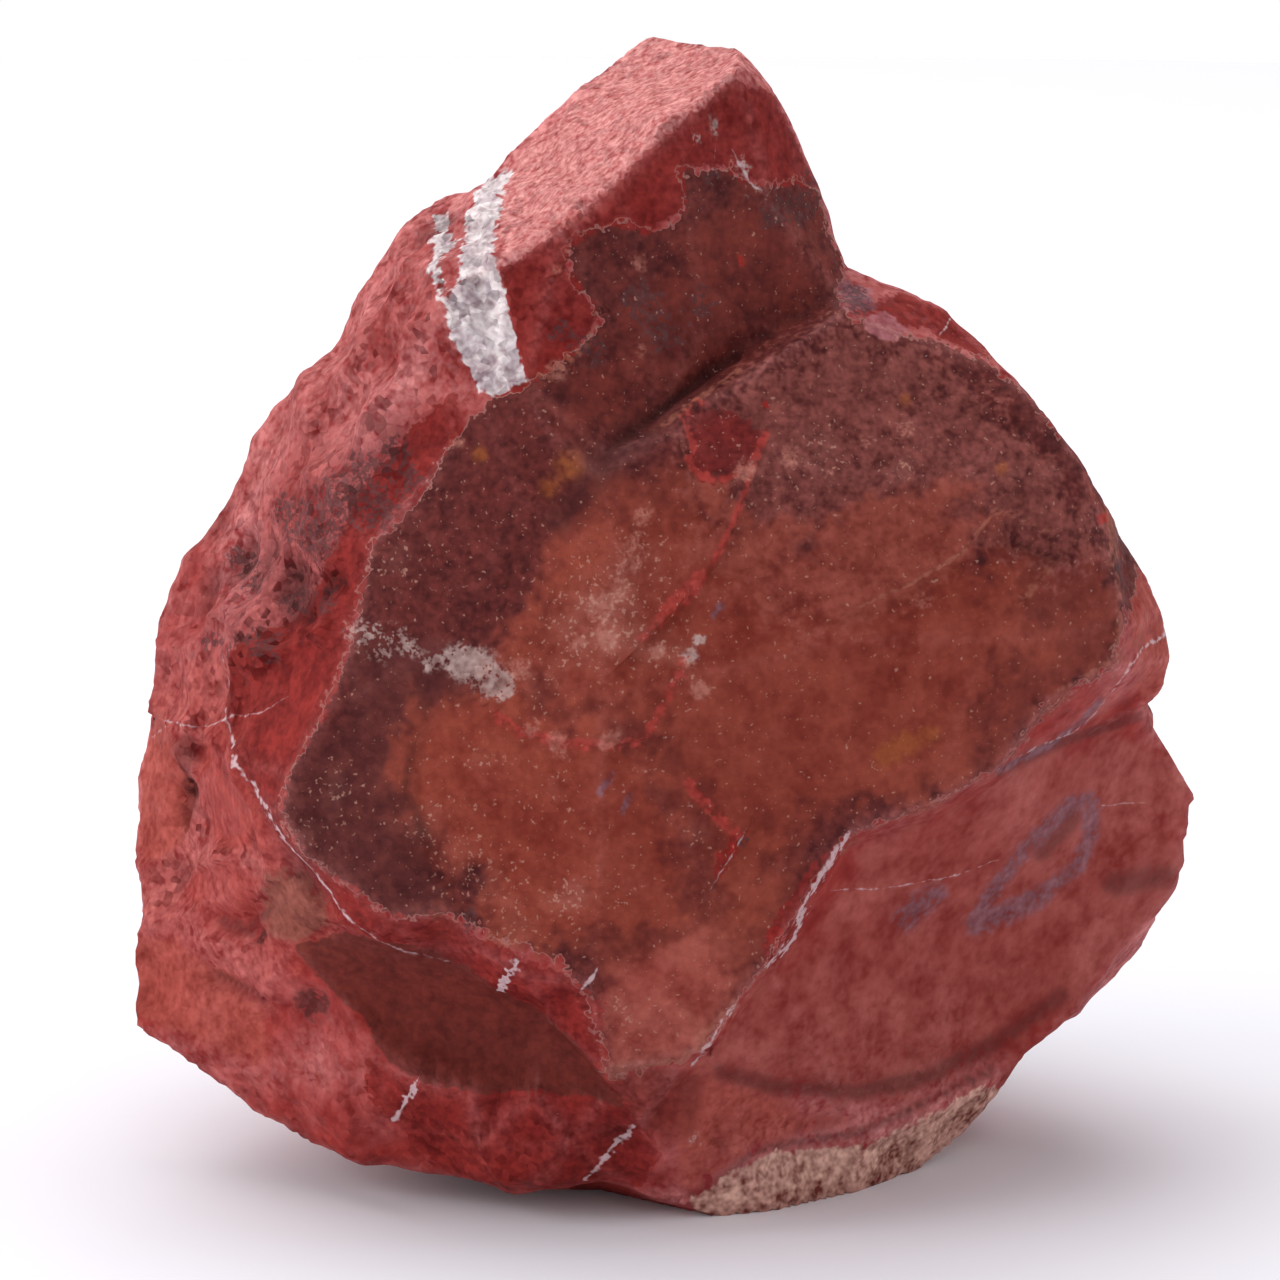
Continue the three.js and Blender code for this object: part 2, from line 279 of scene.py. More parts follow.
# Outlines of the stone's coats, picked in the front view.
OUTLINES = {
    "crown": [picked(
        (508, 172), (530, 155), (590, 85), (645, 36), (700, 40), (745, 55), (735, 78), (683, 124),
        (612, 186), (560, 234), (503, 268), (500, 215),
    )],
    "fall": [picked(
        (690, 1080), (740, 1010), (790, 930), (860, 860), (980, 780), (1100, 715), (1180, 760),
        (1190, 880), (1110, 990), (1010, 1070), (900, 1100), (800, 1100), (700, 1130),
    )],
    "ore": [picked(
        (330, 455), (400, 430), (455, 430), (470, 470), (440, 520), (400, 565), (360, 605), (310, 645),
        (250, 655), (220, 620), (260, 560), (290, 500),
    )],
    "west": [picked(
        (150, 690), (215, 660), (300, 640), (320, 720), (280, 790), (290, 850), (330, 900), (380, 950),
        (300, 960), (250, 1000), (160, 930), (125, 900), (125, 780),
    )],
    # The cheek and the foot of the fall.
    "rosy": [
        picked(
            (1108, 540), (1135, 548), (1170, 600), (1185, 640), (1190, 700), (1140, 700), (1132, 660),
            (1126, 600),
        ),
        picked(
            (700, 1076), (750, 1092), (800, 1112), (850, 1120), (800, 1135), (740, 1160), (692, 1192),
            (672, 1180), (690, 1120),
        ),
    ],
    "green_face": [picked(
        (258, 905), (272, 872), (305, 880), (325, 905), (332, 925), (300, 942), (270, 935),
    )],
    "plate": [picked(
        (570, 530), (600, 490), (640, 465), (700, 470), (715, 540), (780, 598), (862, 606), (912, 583),
        (962, 553), (992, 514), (1058, 545), (1085, 500), (1115, 600), (1100, 660), (1000, 750),
        (850, 820), (750, 970), (640, 1000), (560, 950), (440, 880), (380, 860), (400, 780), (430, 700),
        (500, 660), (540, 600),
    )],
    "block": [picked(
        (560, 430), (600, 330), (690, 250), (760, 215), (820, 225), (846, 275), (760, 330), (650, 412),
    )],
    "mauve": [picked(
        (690, 440), (760, 372), (850, 320), (950, 370), (1040, 450), (1095, 530), (1070, 580), (985, 545),
        (862, 628), (770, 625), (700, 560),
    )],
    # The plate's west side, a dark stain; and the groove's lip, which faces up into the light, darkened there
    # as painted shade.
    "dark_stain": [
        picked(
            (361, 640), (440, 645), (505, 660), (500, 690), (440, 700), (412, 735), (408, 790),
            (432, 850), (445, 905), (400, 915), (350, 890), (305, 856), (282, 815), (285, 780),
            (330, 720), (348, 660),
        ),
        picked((716, 372), (712, 392), (660, 436), (612, 466), (588, 452), (650, 412)),
    ],
    "warm": [picked(
        (560, 620), (580, 560), (640, 510), (720, 500), (790, 530), (860, 510), (960, 500), (1010, 560),
        (1000, 700), (900, 780), (800, 830), (740, 900), (700, 860), (660, 720), (560, 690), (500, 660),
    )],
    "orange": [picked(
        (412, 745), (450, 712), (500, 705), (560, 735), (640, 745), (655, 800), (690, 850), (660, 920),
        (560, 940), (480, 890), (440, 850), (420, 800),
    )],
    "tip_face": [picked(
        (590, 990), (640, 955), (700, 940), (740, 985), (710, 1040), (680, 1060), (608, 1070),
    )],
    # Faces that broke last, bright red without any skin: beside the quartz, at the crown's end,
    # along the plate's west side, under its foot, on the lower lip and on the shoulder.
    "fresh": [
        picked(
            (500, 268), (560, 235), (612, 188), (680, 122), (735, 78), (772, 95), (802, 150), (825, 190),
            (775, 184), (740, 180), (728, 169), (682, 166), (685, 206), (650, 232), (612, 224),
            (566, 246), (570, 270), (590, 300), (599, 318), (579, 348), (530, 384), (520, 350),
            (508, 305),
        ),
        picked(
            (455, 395), (465, 425), (430, 474), (385, 520), (372, 546), (361, 595), (349, 651),
            (322, 716), (286, 775), (280, 812), (303, 856), (350, 886), (391, 918), (448, 914),
            (480, 940), (530, 960), (575, 980), (600, 1000), (607, 1072), (560, 1030), (496, 989),
            (430, 956), (372, 934), (326, 900), (286, 852), (258, 800), (236, 756), (228, 700),
            (262, 640), (300, 605), (335, 560), (362, 490), (410, 430),
        ),
        picked(
            (366, 1056), (407, 1082), (471, 1091), (535, 1095), (566, 1072), (620, 1107), (640, 1120),
            (660, 1150), (640, 1185), (560, 1180), (500, 1188), (440, 1165), (400, 1125), (372, 1085),
        ),
        picked((900, 292), (945, 314), (990, 360), (960, 345), (925, 330), (885, 325), (870, 305)),
        picked((770, 930), (800, 880), (845, 836), (818, 880), (800, 925), (775, 965), (760, 960)),
        picked((732, 832), (750, 828), (735, 855), (712, 885), (718, 860)),
    ],
    "flake": [picked(
        (683, 418), (700, 404), (722, 411), (748, 420), (763, 436), (752, 462), (728, 478), (700, 476),
        (686, 462), (694, 446),
    )],
    "pink": [
        picked((838, 293), (858, 284), (872, 290), (866, 312), (846, 312)),
        picked((868, 314), (885, 312), (908, 330), (895, 342), (872, 336), (862, 324)),
    ],
    "tip": [picked((607, 1069), (670, 1066), (702, 1079), (693, 1125), (665, 1140), (632, 1120))],
    "crust": [picked(
        (688, 1199), (739, 1168), (778, 1153), (848, 1148), (886, 1136), (931, 1117), (988, 1085),
        (1010, 1090), (960, 1140), (930, 1172), (860, 1200), (770, 1225), (700, 1225),
    )],
}
SKIN_OUTLINE = picked(
    (526, 385), (556, 366), (579, 348), (599, 318), (590, 300), (579, 292), (570, 270), (566, 246),
    (592, 226), (612, 224), (632, 226), (650, 232), (665, 229), (676, 220), (685, 206), (680, 185),
    (682, 166), (700, 172), (728, 169), (740, 180), (755, 186), (775, 184), (795, 182), (815, 195),
    (845, 262), (838, 290), (850, 318), (868, 322), (905, 335), (945, 345), (985, 362), (1030, 400),
    (1120, 500), (1140, 560), (1125, 628), (1111, 667), (1075, 690), (1050, 704), (1000, 768), (931, 806),
    (849, 833), (768, 960), (737, 1003), (709, 1042), (681, 1062), (607, 1072), (590, 1000), (560, 960),
    (530, 945), (480, 930), (448, 914), (391, 918), (350, 886), (303, 856), (280, 812), (286, 775),
    (322, 716), (349, 651), (361, 595), (372, 546), (400, 520), (432, 474), (453, 432), (486, 409),
    (500, 395),
)
HOLLOW_OUTLINE = picked(
    (292, 946), (345, 933), (400, 942), (449, 963), (500, 987), (540, 1012), (572, 1035), (602, 1066),
    (625, 1100), (620, 1107), (580, 1092), (537, 1092), (482, 1091), (424, 1083), (386, 1060),
    (365, 1019), (336, 996),
)
HEEL_OUTLINE = picked(
    (128, 930), (160, 938), (195, 950), (228, 975), (252, 1010), (268, 1045), (262, 1062), (215, 1050),
    (170, 1030), (125, 1015),
)
QUARTZ_OUTLINES = [
    picked(
        (484, 176), (512, 168), (502, 215), (494, 262), (507, 300), (516, 345), (528, 382), (500, 396),
        (478, 390), (462, 360), (448, 330), (446, 300), (460, 275), (466, 240), (474, 205),
    ),
    picked(
        (430, 212), (446, 209), (450, 235), (460, 243), (450, 258), (446, 285), (441, 300), (440, 262),
    ),
]
# Larger smooth scars of the west face. The first is as rosy as the heel.
WEST_SCAR_OUTLINES = [
    picked(
        (134, 782), (150, 708), (170, 716), (182, 745), (178, 800), (182, 845), (150, 866), (134, 845),
    ),
    picked((192, 745), (212, 735), (236, 772), (258, 818), (248, 852), (214, 842), (194, 800)),
    picked(
        (188, 872), (236, 858), (264, 880), (254, 905), (256, 925), (236, 944), (198, 928), (178, 898),
    ),
    picked((262, 905), (274, 876), (303, 884), (322, 906), (328, 922), (300, 938), (272, 930)),
    picked((250, 700), (272, 660), (318, 640), (338, 655), (312, 720), (282, 765), (262, 745)),
]

# Small marks in the front view: pixels across and down, and a radius in millimetres.
SPOTS = {
    "orange_spots": picked(
        (570, 465, 1.1), (548, 488, 0.7), (480, 455, 0.6), (905, 745, 1.0), (885, 755, 0.8),
        (930, 735, 0.7), (440, 930, 1.2), (905, 400, 0.5), (1000, 470, 0.5),
    ),
    "dust": picked(
        (640, 560, 2.6), (600, 610, 3.2), (570, 640, 3.0), (640, 640, 2.6), (540, 690, 1.6),
        (690, 660, 1.8), (310, 830, 1.8), (340, 790, 2.0), (430, 830, 2.4), (480, 880, 2.6),
        (520, 930, 2.0), (560, 790, 1.8), (560, 900, 1.6), (480, 760, 1.6), (820, 450, 2.4),
        (760, 480, 1.8), (900, 470, 1.8), (700, 830, 1.6), (580, 890, 1.2), (400, 560, 1.8),
        (620, 1010, 1.4),
    ),
    "scuffs": picked(
        (645, 520, 0.8), (638, 545, 1.1), (628, 565, 0.8), (600, 608, 1.0), (618, 590, 0.8),
        (575, 640, 0.7), (690, 662, 0.5), (655, 650, 0.6), (745, 470, 0.7), (790, 455, 0.8),
        (830, 475, 0.6), (865, 440, 0.5), (905, 430, 0.6), (560, 745, 0.8), (610, 740, 0.8),
        (530, 725, 0.7), (607, 640, 0.7), (520, 670, 0.8), (925, 600, 0.6), (700, 690, 0.6),
        (640, 262, 0.5), (640, 350, 0.4), (560, 270, 0.6), (555, 370, 0.6), (455, 440, 0.5),
    ),
    "pale": picked(
        (364, 632, 0.9), (382, 640, 1.0), (376, 652, 0.8), (398, 636, 0.7), (412, 650, 0.5),
        (458, 658, 0.9), (478, 668, 1.1), (498, 682, 0.9), (484, 684, 0.7), (430, 662, 0.6),
        (502, 688, 0.6), (692, 656, 0.45), (700, 640, 0.35), (697, 1140, 0.5), (742, 165, 0.5),
        (748, 182, 0.5), (695, 140, 0.4), (712, 128, 0.35), (728, 150, 0.35), (762, 190, 0.4),
    ),
    "grey": picked(
        (853, 297, 0.9), (860, 307, 0.7), (320, 540, 1.6), (290, 600, 1.0), (330, 600, 0.8),
        (380, 510, 1.4), (370, 470, 1.2), (345, 500, 1.4), (270, 640, 0.8), (240, 560, 1.0),
        (215, 640, 0.6), (410, 480, 0.9), (237, 655, 0.7), (275, 655, 0.6), (327, 604, 0.7),
        (250, 585, 0.7), (300, 520, 1.2), (400, 450, 0.9), (470, 925, 0.5), (440, 890, 0.3),
        (820, 185, 1.3), (835, 160, 1.0), (800, 210, 1.2), (640, 300, 1.5), (665, 335, 1.3),
        (700, 300, 1.1), (590, 350, 1.2), (560, 330, 0.9), (468, 912, 0.5), (745, 842, 0.4),
        (770, 215, 0.9), (790, 205, 0.8), (710, 175, 0.7),
    ),
    # Pits: the relief sinks each a little, and their dark coat is painted shade in them.
    "pits": picked(
        (338, 582, 0.8), (325, 594, 0.5), (252, 643, 0.6), (306, 617, 0.5), (285, 575, 0.4),
        (310, 1008, 1.3), (255, 935, 0.7), (184, 790, 0.8),
    ),
    "chips": picked(
        (775, 935, 0.8), (735, 850, 0.5), (740, 262, 0.35), (765, 405, 0.35), (1098, 520, 0.35),
    ),
}

# Places where a thin edge is worn round.
ROUNDED = picked((1165, 650, 2.6), (1165, 690, 2.6))

# Soft strokes of colour, each with its half width in millimetres.
STROKES = {
    "lilac": [
        (picked(
            (1092, 800), (1072, 803), (1048, 825), (1020, 855), (1000, 882), (978, 915), (1002, 916),
            (1042, 895), (1076, 868), (1090, 838), (1092, 806),
        ), 0.6),
        (picked((975, 925), (1010, 912), (1040, 895)), 0.8),
        (picked((905, 920), (920, 905), (935, 895)), 0.9),
        (picked((845, 288), (868, 305)), 0.6),
        (picked((600, 792), (612, 775)), 0.25),
        (picked((622, 812), (632, 792)), 0.25),
        (picked((715, 615), (722, 605)), 0.3),
        (picked((1000, 770), (1050, 745), (1080, 722), (1100, 700)), 0.25),
    ],
    "red": [
        (picked(
            (766, 432), (752, 470), (735, 520), (715, 560), (690, 600), (662, 625), (640, 640),
        ), 0.28),
        (picked((497, 716), (520, 732), (560, 743), (600, 746), (640, 742)), 0.42),
        (picked((700, 575), (680, 595), (650, 630)), 0.5),
        (picked(
            (700, 404), (683, 418), (694, 446), (686, 462), (700, 476), (728, 478), (752, 462),
            (763, 436),
        ), 0.24),
        (picked((640, 742), (665, 700), (690, 655)), 0.35),
        (picked((690, 785), (720, 820), (740, 835)), 0.4),
    ],
    # Mostly painted shade: shadow lines under ledges and flake edges, in the west face's slits, along the
    # groove and above the crust; one wide stroke darkens the fall's lower part.
    "dark": [
        (picked((735, 355), (712, 371), (650, 419), (620, 440)), 0.35),
        (picked((190, 742), (184, 780), (186, 818)), 0.55),
        (picked((218, 922), (240, 932), (262, 915)), 0.4),
        (picked((212, 975), (236, 989), (258, 1002)), 0.3),
        (picked(
            (720, 1072), (780, 1088), (860, 1092), (930, 1075), (1000, 1040), (1060, 995),
        ), 0.6),
        (picked((1012, 540), (1035, 548), (1058, 558)), 0.18),
        (picked((560, 520), (600, 470), (640, 440)), 1.1),
        (picked((1000, 772), (1060, 742), (1140, 716)), 0.4),
        (picked((690, 1195), (760, 1150), (850, 1135), (930, 1100), (990, 1070)), 0.3),
        (picked((412, 745), (405, 790), (430, 850)), 0.3),
        (picked((712, 474), (735, 470), (752, 462)), 0.25),
        (picked((1042, 852), (1062, 832), (1074, 816)), 0.7),
        (picked((1115, 884), (1165, 876)), 0.9),
    ],
    # Mostly painted highlight: pale lines where ledge tops, the groove's lip and the east outline catch the
    # light, and a tan rim along the tip's edges.
    "tan": [
        (picked((740, 372), (722, 386), (664, 428)), 0.2),
        (picked((855, 608), (912, 583), (962, 553), (990, 515)), 0.13),
        (picked((1022, 600), (1050, 565)), 0.2),
        (picked((700, 1040), (735, 1004)), 0.3),
        (picked((530, 384), (556, 372), (580, 350), (600, 320)), 0.16),
        (picked((607, 1069), (640, 1065), (681, 1061), (709, 1042)), 0.16),
        (picked((985, 511), (1012, 515), (1036, 529), (1060, 544)), 0.12),
        (picked((1100, 505), (1112, 560), (1122, 625), (1108, 664), (1060, 690)), 0.2),
    ],
}

# Thin veins, in two groups so that two may cross. After each pick stands half the width there, in
# millimetres.
VEINS = {
    "a": [
        # Long one west of the plate.
        picked(
            (225, 655, 0.1), (232, 715, 0.14), (240, 760, 0.2), (262, 800, 0.2), (290, 850, 0.18),
            (330, 895, 0.16), (372, 932, 0.14), (401, 951, 0.1), (450, 965, 0.06),
        ),
        # Across the cheek.
        picked(
            (1175, 628, 0.22), (1144, 648, 0.2), (1121, 678, 0.1), (1095, 714, 0.08), (1071, 731, 0.12),
            (1018, 757, 0.12),
        ),
        # Down the fall.
        picked(
            (849, 833, 0.3), (832, 858, 0.34), (814, 884, 0.34), (803, 912, 0.32), (795, 939, 0.3),
            (766, 967, 0.24),
        ),
        # At the plate's tip.
        picked((737, 1004, 0.24), (722, 1024, 0.2), (709, 1044, 0.22), (690, 1066, 0.12)),
        # Through the ring on the fall.
        picked((830, 890, 0.06), (880, 888, 0.1), (940, 880, 0.1), (1000, 860, 0.06)),
        # Two short ones at the plate's foot.
        picked((520, 958, 0.3), (508, 975, 0.55), (500, 988, 0.4)),
        picked((598, 968, 0.12), (590, 980, 0.2), (582, 988, 0.14)),
        # On the belly.
        picked((418, 1076, 0.32), (408, 1096, 0.48), (395, 1120, 0.26)),
        # On the lower lip.
        picked((634, 1128, 0.26), (622, 1140, 0.34), (606, 1154, 0.3), (585, 1176, 0.22)),
    ],
    "b": [
        # Branch of the long one.
        picked(
            (150, 740, 0.08), (172, 722, 0.12), (205, 728, 0.13), (228, 722, 0.12), (262, 712, 0.08),
            (292, 696, 0.05),
        ),
        # East end of the fall.
        picked((1095, 806, 0.07), (1135, 803, 0.08), (1195, 798, 0.1)),
        # At the chip.
        picked((747, 828, 0.1), (732, 858, 0.14), (710, 890, 0.08)),
        # On the shoulder's flake.
        picked((952, 316, 0.12), (940, 335, 0.14)),
        # Two under the crown's end.
        picked((732, 146, 0.1), (740, 165, 0.2), (748, 182, 0.2), (762, 190, 0.14)),
        picked((690, 127, 0.06), (697, 142, 0.12), (694, 150, 0.08)),
    ],
}

# Low steps in the plate: points, drop on the left of the line in millimetres, and how far it runs.
LEDGES = {
    "belt": (picked((496, 712), (520, 728), (560, 740), (600, 743), (645, 740)), 0.55, 5.0),
    "east_long": (picked((855, 610), (912, 585), (962, 555), (992, 515)), 0.45, 4.5),
    "east_top": (picked((992, 512), (1022, 517), (1040, 530), (1058, 540), (1060, 558)), 0.8, 3.0),
    "east_low": (picked((1060, 560), (1025, 598), (988, 645)), 0.4, 3.0),
    "east_mid": (picked((1000, 590), (975, 620), (950, 650)), 0.3, 2.5),
    "upper": (picked((745, 500), (730, 540), (700, 580), (672, 615), (640, 645)), -0.45, 4.0),
    "chip": (picked((752, 822), (735, 850), (712, 892)), -0.5, 2.5),
    "south": (picked((420, 735), (412, 790), (430, 850), (455, 905)), -0.22, 3.0),
    "wall": (picked((600, 318), (580, 350), (530, 390)), 0.4, 4.0),
    "flake": (picked((690, 468), (680, 445), (690, 412), (720, 402), (745, 418)), 0.35, 2.0),
    "wall_top": (picked(
        (566, 246), (592, 226), (632, 226), (665, 229), (685, 206), (682, 166),
    ), 0.3, 3.0),
}
# Narrow furrows: points, depth, half width.
FURROWS = {
    "groove": (picked((735, 357), (712, 371), (650, 418), (612, 447)), 0.45, 0.45),
    "east": (picked((1012, 540), (1035, 548), (1058, 558)), 0.45, 0.35),
    "west_a": (picked((192, 738), (182, 790), (184, 822)), 1.0, 0.7),
    "west_b": (picked((206, 720), (204, 760)), 0.6, 0.5),
    "scar": (picked((215, 915), (240, 925), (262, 905)), 0.8, 0.8),
    "heel": (picked((212, 978), (240, 990), (275, 1020)), 0.8, 0.6),
}

# How far behind the camera's target what the front view shows fades out, in millimetres: the
# colours and the drawn relief between the first two depths, scars and veins between the others.
COLOUR_FADE = (9.0, 17.0)
SCAR_FADE = (5.0, 9.0)
# A distance that takes a field clear of its outline, in millimetres.
CLEAR = 40.0
# Smooth scars: the outline of each, and the width over which its edge is eased, in millimetres.
SCARS = [
    (HOLLOW_OUTLINE, 0.7), (HEEL_OUTLINE, 2.5), *((outline, 0.8) for outline in WEST_SCAR_OUTLINES),
]
# A knot nearer than this to a sharp side of the cage moves onto it, in millimetres.
SNAP = 0.2
# Sine of the fold from which a side counts as sharp.
SHARP_FOLD = 0.3

# Numbers that scramble a lattice knot's three places into a key, and a key into numbers.
SCRAMBLE = (73856093, 19349663, 83492791)
STIR = 1274126177
KEY_BITS = 0x7FFFFFFF
NUMBER_RANGE = 65521


def on_sight(points):
    """Sight plane place of each point: its offset from the target along right and up, drawn in
    by the perspective, distance over distance plus depth; and its depth behind the target."""
    offset = points - CAMERA_TARGET
    depth = -offset @ FRONT
    shrink = CAMERA_DISTANCE / (CAMERA_DISTANCE + depth)
    return (offset @ RIGHT) * shrink, (offset @ UP) * shrink, depth


def knot_key(knot):
    """One whole number for every knot of a cubic lattice: its three places, each times a large
    number, put together bit by bit with exclusive or."""
    return knot[:, 0] * SCRAMBLE[0] ^ knot[:, 1] * SCRAMBLE[1] ^ knot[:, 2] * SCRAMBLE[2]


def stirred(key):
    """The next key: the key and its own upper bits put together, times a large number."""
    return (key ^ (key >> 13)) * STIR & KEY_BITS


def value_noise(points, wavelength, seed):
    """Noise of one wavelength, -1 to 1: each whole knot of a cubic lattice gets a scrambled
    number, and a point takes the eight around it, eased by 6t^5 - 15t^4 + 10t^3."""
    lattice = points / wavelength + 100.0 + 17.3 * seed
    knot = np.floor(lattice).astype(np.int64)
    share = lattice - knot
    ease = share * share * share * (share * (share * 6 - 15) + 10)
    total = np.zeros(len(points))
    for corner in np.ndindex(2, 2, 2):
        key = stirred(knot_key(knot + corner))
        number = (key ^ (key >> 15)) % NUMBER_RANGE / (NUMBER_RANGE // 2) - 1.0
        total += np.prod(np.where(corner, ease, 1 - ease), axis=1) * number
    return total


def layered_noise(points, wavelength, layers, seed):
    """Sum of value noises, each of half the wavelength and a bit over half the height."""
    total = np.zeros(len(points))
    height = 1.0
    reach = 0.0
    for layer in range(layers):
        total += height * value_noise(points, wavelength / 2 ** layer, seed + layer)
        reach += height
        height *= 0.55
    return total / reach


def ease_step(value, start, end):
    """0 below start, 1 above end, and 3t^2 - 2t^3 between."""
    share = np.clip((value - start) / (end - start), 0.0, 1.0)
    return share * share * (3 - 2 * share)


def along_line(across, upward, points):
    """For every knot, its nearest point on a drawn line: the distance with a sign, plus on the
    left of the line's direction; the line's third value there; and how far past an end it lies."""
    best = np.full(len(across), np.inf)
    signed = np.zeros(len(across))
    value = np.zeros(len(across))
    past = np.zeros(len(across))
    last = len(points) - 2
    for index, (start, end) in enumerate(zip(points[:-1], points[1:])):
        step = end[:2] - start[:2]
        length = np.hypot(*step)
        step_x, step_y = step / length
        off_x, off_y = across - start[0], upward - start[1]
        run = off_x * step_x + off_y * step_y
        side = off_y * step_x - off_x * step_y
        held = np.clip(run, 0, length)
        distance = np.hypot(off_x - held * step_x, off_y - held * step_y)
        nearer = distance < best
        best = np.where(nearer, distance, best)
        signed = np.where(nearer, np.copysign(distance, side), signed)
        over = np.zeros(len(across))
        if index == 0:
            over = np.maximum(over, -run)
        if index == last:
            over = np.maximum(over, run - length)
        past = np.where(nearer, over, past)
        if points.shape[1] > 2:
            value = np.where(nearer, start[2] + (end[2] - start[2]) * held / length, value)
    return signed, value, past


def inside_outline(across, upward, points):
    """Distance to a closed outline in millimetres, plus inside and minus outside: the nearest
    side gives the amount, and the number of sides crossed to the right gives the sign."""
    best = np.full(len(across), np.inf)
    inside = np.zeros(len(across), dtype=bool)
    for start, end in zip(points, np.roll(points, -1, axis=0)):
        step = end - start
        off_x, off_y = across - start[0], upward - start[1]
        held = np.clip((off_x * step[0] + off_y * step[1]) / (step @ step), 0, 1)
        best = np.minimum(best, np.hypot(off_x - held * step[0], off_y - held * step[1]))
        between = (start[1] > upward) != (end[1] > upward)
        rise = step[1] if step[1] else 1e-9
        crossing = start[0] + (upward - start[1]) / rise * step[0]
        inside ^= between & (across < crossing)
    return np.where(inside, best, -best)


def near_spots(across, upward, spots):
    """Sum of round marks: each is exp(-(distance / radius)^2) around its place."""
    total = np.zeros(len(across))
    for right, up, radius in spots:
        total += np.exp(-((across - right) ** 2 + (upward - up) ** 2) / radius ** 2)
    return np.minimum(total, 1.5)


class Cage:
    """The listed corners and the facets between them."""

    def __init__(self):
        self.corners = np.concatenate([corners for _, corners in CAGE.values()]) - HEART
        self.amounts = np.concatenate([
            np.tile(amounts, (len(corners), 1)) for amounts, corners in CAGE.values()])
        self.facets = self.find_facets()
        self.bend = self.find_bends()

    def find_facets(self):
        """The convex hull of the corners' unit directions says which corners share a facet."""
        hull = bmesh.new()
        for direction in self.corners / np.linalg.norm(self.corners, axis=1)[:, None]:
            hull.verts.new(direction)
        hull.verts.ensure_lookup_table()
        hull.verts.index_update()
        bmesh.ops.convex_hull(hull, input=hull.verts)
        facets = np.array([[v.index for v in face.verts] for face in hull.faces])
        hull.free()
        a, b, c = (self.corners[facets[:, k]] for k in range(3))
        inwards = np.einsum("ij,ij->i", np.cross(b - a, c - a), a + b + c) < 0
        facets[inwards] = facets[inwards][:, ::-1]
        return facets

    def find_bends(self):
        """For each facet and each of its corners, how sharply the surface bends at the side that
        faces the corner: the sine of the fold, plus on a ridge and minus in a valley."""
        a, b, c = (self.corners[self.facets[:, k]] for k in range(3))
        normals = np.cross(b - a, c - a)
        normals /= np.linalg.norm(normals, axis=1)[:, None]
        middles = (a + b + c) / 3
        sides = {}
        for facet, corners in enumerate(self.facets):
            for k in range(3):
                side = frozenset((corners[(k + 1) % 3], corners[(k + 2) % 3]))
                sides.setdefault(side, []).append((facet, k))
        bends = np.zeros((len(self.facets), 3))
        for (one, k), (two, j) in sides.values():
            fold = np.linalg.norm(np.cross(normals[one], normals[two]))
            ridge = np.sign((middles[one] - middles[two]) @ (normals[one] - normals[two]))
            bends[one, k] = bends[two, j] = fold * ridge
        return bends

    def meet(self, directions, snap):
        """Where rays from the heart meet the facets: a direction is a mix of a facet's three
        corners with no minus share, and the shares' sum gives its length. A knot nearer than
        snap to a sharp side moves straight onto it, so that ridges stay crisp."""
        sides = self.corners[self.facets]
        shares_of = np.linalg.inv(np.transpose(sides, (0, 2, 1)))
        facet = np.empty(len(directions), dtype=int)
        for part in np.array_split(np.arange(len(directions)), 24):
            shares = np.einsum("fij,nj->nfi", shares_of, directions[part])
            facet[part] = np.argmax(shares.min(axis=2), axis=1)
        shares = np.einsum("nij,nj->ni", shares_of[facet], directions)
        shares = np.clip(shares, 0, None)
        shares /= shares.sum(axis=1)[:, None]
        own = sides[facet]
        area = np.linalg.norm(np.cross(own[:, 1] - own[:, 0], own[:, 2] - own[:, 0]), axis=1)
        lengths = np.linalg.norm(np.roll(own, -1, axis=1) - np.roll(own, 1, axis=1), axis=2)
        distance = shares * area[:, None] / lengths
        bends = self.bend[facet]
        points = np.einsum("nk,nkj->nj", shares, own) + HEART
        sharp = np.where(bends > SHARP_FOLD, distance, np.inf)
        nearest = np.argmin(sharp, axis=1)
        knot = np.arange(len(points))
        reach = sharp[knot, nearest]
        moves = np.flatnonzero(reach < snap)
        side = nearest[moves]
        along = own[moves, (side + 2) % 3] - own[moves, (side + 1) % 3]
        normal = np.cross(own[moves, 1] - own[moves, 0], own[moves, 2] - own[moves, 0])
        across = np.cross(along, normal)
        across /= np.linalg.norm(across, axis=1)[:, None]
        points[moves] += across * reach[moves][:, None]
        amounts = np.einsum("nk,nkj->nj", shares, self.amounts[self.facets[facet]])
        ridge = np.max(np.clip(bends, 0, 1) * np.exp(-distance / 0.4), axis=1)
        valley = np.max(np.clip(-bends, 0, 1) * np.exp(-distance / 0.6), axis=1)
        return points, amounts, ridge, valley


def polar_directions(cage, rows, columns):
    """Unit directions of a polar grid about the line of sight. Rows are spaced by the surface's
    mean length along a meridian, closer by far in front than behind."""
    coarse = np.linspace(0, math.pi, 181)
    turns = np.linspace(0, 2 * math.pi, 24, endpoint=False)
    tilt, turn = (grid.ravel() for grid in np.meshgrid(coarse, turns, indexing="ij"))
    points = cage.meet(direction_at(tilt, turn), 0)[0].reshape(len(coarse), len(turns), 3)
    steps = np.linalg.norm(np.diff(points, axis=0), axis=2).mean(axis=1)
    behind = ease_step((coarse[1:] + coarse[:-1]) / 2, math.radians(80), math.radians(115))
    length = np.concatenate([[0], np.cumsum(steps * (1 - 0.62 * behind))])
    tilts = np.interp(np.linspace(0, length[-1], rows + 2)[1:-1], length, coarse)
    turns = np.linspace(0, 2 * math.pi, columns, endpoint=False)
    tilt, turn = (grid.ravel() for grid in np.meshgrid(tilts, turns, indexing="ij"))
    return direction_at(tilt, turn)


def direction_at(tilt, turn):
    """cos(tilt) towards the camera, and sin(tilt) across, turned about the line of sight."""
    across = np.outer(np.cos(turn), RIGHT) + np.outer(np.sin(turn), UP)
    return np.cos(tilt)[:, None] * FRONT + np.sin(tilt)[:, None] * across


